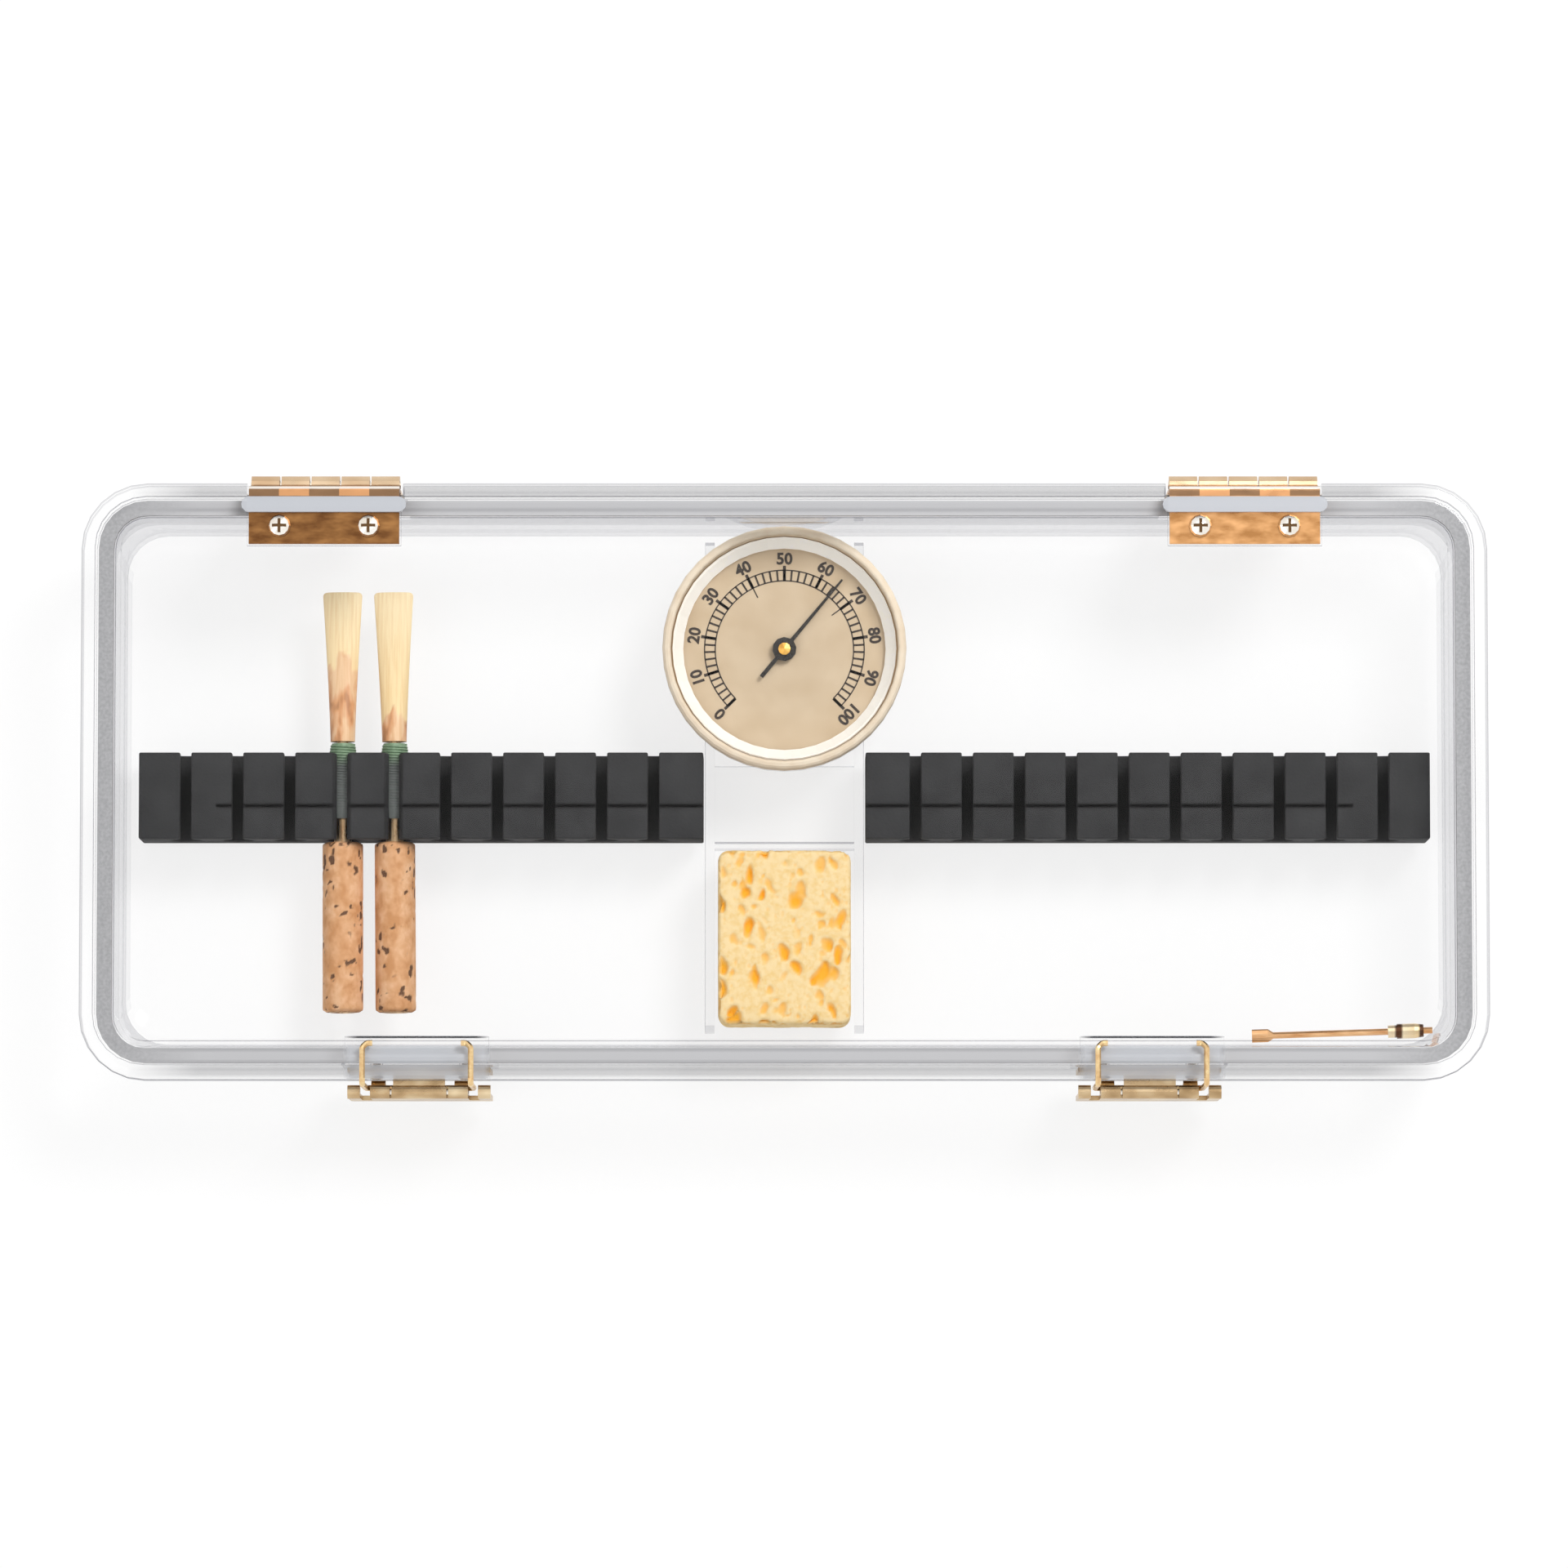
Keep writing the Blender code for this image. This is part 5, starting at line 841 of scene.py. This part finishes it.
# reeds, along Y from the thread to the tip: sizes of the cane and the cork in mm, and how far each reed leans
reedLook = {"lean": (0.25, 0.5), "around": 56, "start": 7.8, "length": 25.4, "throat": 4.2, "tipWidth": 6.8,
            "tipThick": 1.5, "flare": 1.25, "throatWall": 0.6, "tipWall": 0.35, "corner": 0.75, "alongCane": 46,
            "bark": (0.56, 0.2), "barkFade": 0.03, "drift": 0.1, "scrape": 0.09, "seam": 0.1, "seamReach": 0.14,
            "flat": 0.4, "corkRadius": 3.43, "corkEdge": 0.6, "corkBore": 2.75, "alongCork": 84, "sharp": 50,
            "pore": (1.55, 0.8, 0.5), "poreDepth": 0.18, "poreStretch": 0.8, "poreWarp": 0.8, "warpScale": 1.1}


# a closed tube from rings of points, each with a value for the material, the last ring joined to the first
def ringTube(name, rings, values, attribute, place, material, nodeName):
    mesh = bmesh.new()
    layer = mesh.verts.layers.float.new(attribute)
    rows = []
    for ring, shares in zip(rings, values):
        row = [mesh.verts.new(place @ point) for point in ring]
        for vert, share in zip(row, shares):
            vert[layer] = share
        rows.append(row)
    for first, second in zip(rows, rows[1:] + rows[:1]):
        for k in range(len(first)):
            mesh.faces.new((first[k], first[k - 1], second[k - 1], second[k]))
    bmesh.ops.recalc_face_normals(mesh, faces=mesh.faces)
    made = meshObject(name, mesh, material)
    smoothed(made, reedLook["sharp"])
    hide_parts(nodeName)
    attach(made, "base")
    return made


# one section of the two blades: round at the thread, wide and thin at the tip, whose corners are trimmed round
def caneRing(share, inside, number):
    look = reedLook
    wall = look["throatWall"] + (look["tipWall"] - look["throatWall"]) * share
    width = look["throat"] + (look["tipWidth"] - look["throat"]) * share ** look["flare"]
    thick = look["throat"] + (look["tipThick"] - look["throat"]) * share
    fromTip = (1 - share) * look["length"]
    if fromTip < look["corner"]:
        width -= 2 * look["corner"] * (1 - math.sqrt(1 - (1 - fromTip / look["corner"]) ** 2))
    ring, shares = [], []
    for k in range(look["around"]):
        angle = math.tau * k / look["around"]
        side, rise = math.cos(angle), math.sin(angle)
        drift = noise.noise(Vector((side * 2.2, share * 9, 3.7 * number + (rise > 0)))) * look["drift"]
        edge = look["bark"][number - 1] + drift - look["drift"] * abs(side)
        bark = 1 - min(1, max(0, (share - edge) / look["barkFade"]))
        halfWidth, halfThick = width / 2, thick / 2
        if inside:
            halfWidth, halfThick = halfWidth - wall, halfThick - wall
        else:
            halfWidth -= look["seam"] * max(0, 1 - abs(rise) / look["seamReach"])
            halfThick -= look["scrape"] * (1 - bark) * abs(rise)
        flat = rise * abs(rise) ** (look["flat"] * share)
        ring.append(Vector((halfWidth * side, look["start"] + look["length"] * share, halfThick * flat)) * mm)
        shares.append(0.0 if inside else bark)
    return ring, shares


# cork: sanded to a cylinder, with rounded ends and open pores cut into it, and a plain bore
def corkRings(foot, top, number):
    look = reedLook
    angles = [math.tau * k / look["around"] for k in range(look["around"])]
    rings, pores = [], []
    for step in range(look["alongCork"] + 1):
        y = foot + (top - foot) * step / look["alongCork"]
        edge = max(0, 1 - min(y - foot, top - y) / mm / look["corkEdge"])
        radius = look["corkRadius"] - look["corkEdge"] * (1 - math.sqrt(1 - edge ** 2))
        ring, dents = [], []
        for angle in angles:
            spot = Vector((radius * math.cos(angle), y / mm * look["poreStretch"] + 31 * number,
                           radius * math.sin(angle)))
            warp = warped(spot * look["warpScale"], (5, 2, 8), look["poreWarp"])
            pore = openPore(spot + warp, *look["pore"])
            reach = radius - look["poreDepth"] * pore ** 0.5
            ring.append(Vector((reach * math.cos(angle) * mm, y, reach * math.sin(angle) * mm)))
            dents.append(pore)
        rings.append(ring)
        pores.append(dents)
    for y in (top, foot):
        rings.append([Vector((look["corkBore"] * math.cos(angle) * mm, y,
                              look["corkBore"] * math.sin(angle) * mm)) for angle in angles])
        pores.append([0.0] * look["around"])
    return rings, pores


for number in (1, 2):
    low, high = (Vector(corner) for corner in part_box(f"reed_{number}_cork"))
    middle = (low + high) / 2
    lean = math.radians(reedLook["lean"][number - 1])
    foot = Vector((middle.x + math.tan(lean) * middle.y, 0, middle.z))
    place = Matrix.Translation(foot) @ Matrix.Rotation(lean, 4, "Z")
    steps = reedLook["alongCane"]
    # the last sections lie close together, for the round corners of the tip
    shares = [step / steps * 0.97 for step in range(steps)] + [0.97, 0.975, 0.98, 0.985, 0.99, 0.995, 0.998, 1.0]
    sections = [caneRing(share, False, number) for share in shares]
    sections += [caneRing(share, True, number) for share in (1.0, 0.75, 0.5, 0.25, 0.0)]
    rings, barks = zip(*sections)
    blades = ringTube(f"reed_{number}_blades", list(rings), list(barks), "barkShare", place, cane,
                      f"reed_{number}_cane")
    rings, pores = corkRings(low.y / math.cos(lean), high.y / math.cos(lean), number)
    sleeve = ringTube(f"reed_{number}_sleeve", rings, pores, "poreShare", place, cork, f"reed_{number}_cork")
print("reeds shaped")


# a tree that winds thread round a reed: a spiral along Y that follows a straight taper, with closed ends
def threadWinding():
    tree, given = newTree("threadWinding", {"Turns": "Float", "Steps": "Int", "Top Radius": "Float",
                                            "Foot Radius": "Float", "Length": "Float", "Thickness": "Float",
                                            "Thinning": "Float", "Place": "Vector", "Lean": "Float",
                                            "Yarn": "Material"})
    coil = addNode(tree, "GeometryNodeCurveSpiral", {
        "Resolution": given["Steps"], "Rotations": given["Turns"], "Start Radius": given["Top Radius"],
        "End Radius": given["Foot Radius"], "Height": given["Length"]})
    # the pile of turns is a little thinner at both of its ends
    share = addNode(tree, "GeometryNodeSplineParameter").outputs["Factor"]
    side = maths(tree, "ABSOLUTE", maths(tree, "MULTIPLY_ADD", share, 2.0, -1.0))
    slim = maths(tree, "MULTIPLY", maths(tree, "POWER", side, 5.0), given["Thinning"])
    slim = maths(tree, "SUBTRACT", 1.0, slim)
    spot = addNode(tree, "GeometryNodeInputPosition").outputs[0]
    drawn = addNode(tree, "ShaderNodeVectorMath", {0: spot, 1: combine(tree, slim, slim, 1.0)},
                    operation="MULTIPLY")
    shaped = addNode(tree, "GeometryNodeSetPosition", {"Geometry": coil.outputs[0], "Position": drawn.outputs[0]})
    half = maths(tree, "MULTIPLY", given["Thickness"], 0.5)
    strand = addNode(tree, "GeometryNodeCurvePrimitiveCircle", {"Resolution": 6, "Radius": half})
    wound = addNode(tree, "GeometryNodeCurveToMesh", {
        "Curve": shaped.outputs[0], "Profile Curve": strand.outputs[0], "Fill Caps": True})
    laid = addNode(tree, "GeometryNodeTransform", {"Geometry": wound.outputs[0], "Translation": given["Place"],
                                                   "Rotation": combine(tree, x=math.pi / 2, z=given["Lean"])})
    return closeTree(tree, laid.outputs[0], given["Yarn"])


# thread: about 28 turns from the cane to the tube, laid side by side over the wound core
windLook = {"thickness": 0.46, "pitch": 0.46, "stepsPerTurn": 20, "proud": 0.06, "thinning": 0.14}
winding = threadWinding()
for number in (1, 2):
    low, high = (Vector(corner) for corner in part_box(f"reed_{number}_thread"))
    middle = (low + high) / 2
    thickness = windLook["thickness"] * mm
    length = high.y - low.y - thickness
    radius = (high.z - low.z) / 2 - thickness / 2 + windLook["proud"] * mm
    turns = length / (windLook["pitch"] * mm)
    inputs = {"Turns": turns, "Steps": int(turns * windLook["stepsPerTurn"]), "Top Radius": radius,
              "Foot Radius": radius, "Length": length, "Thickness": thickness, "Thinning": windLook["thinning"],
              "Place": (middle.x, high.y - thickness / 2, middle.z),
              "Lean": math.radians(reedLook["lean"][number - 1]), "Yarn": thread}
    windingPiece = growMesh(f"reed_{number}_winding", winding, inputs)
    windingPiece.data.shade_smooth()
    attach(windingPiece, "base")
print("thread wound")
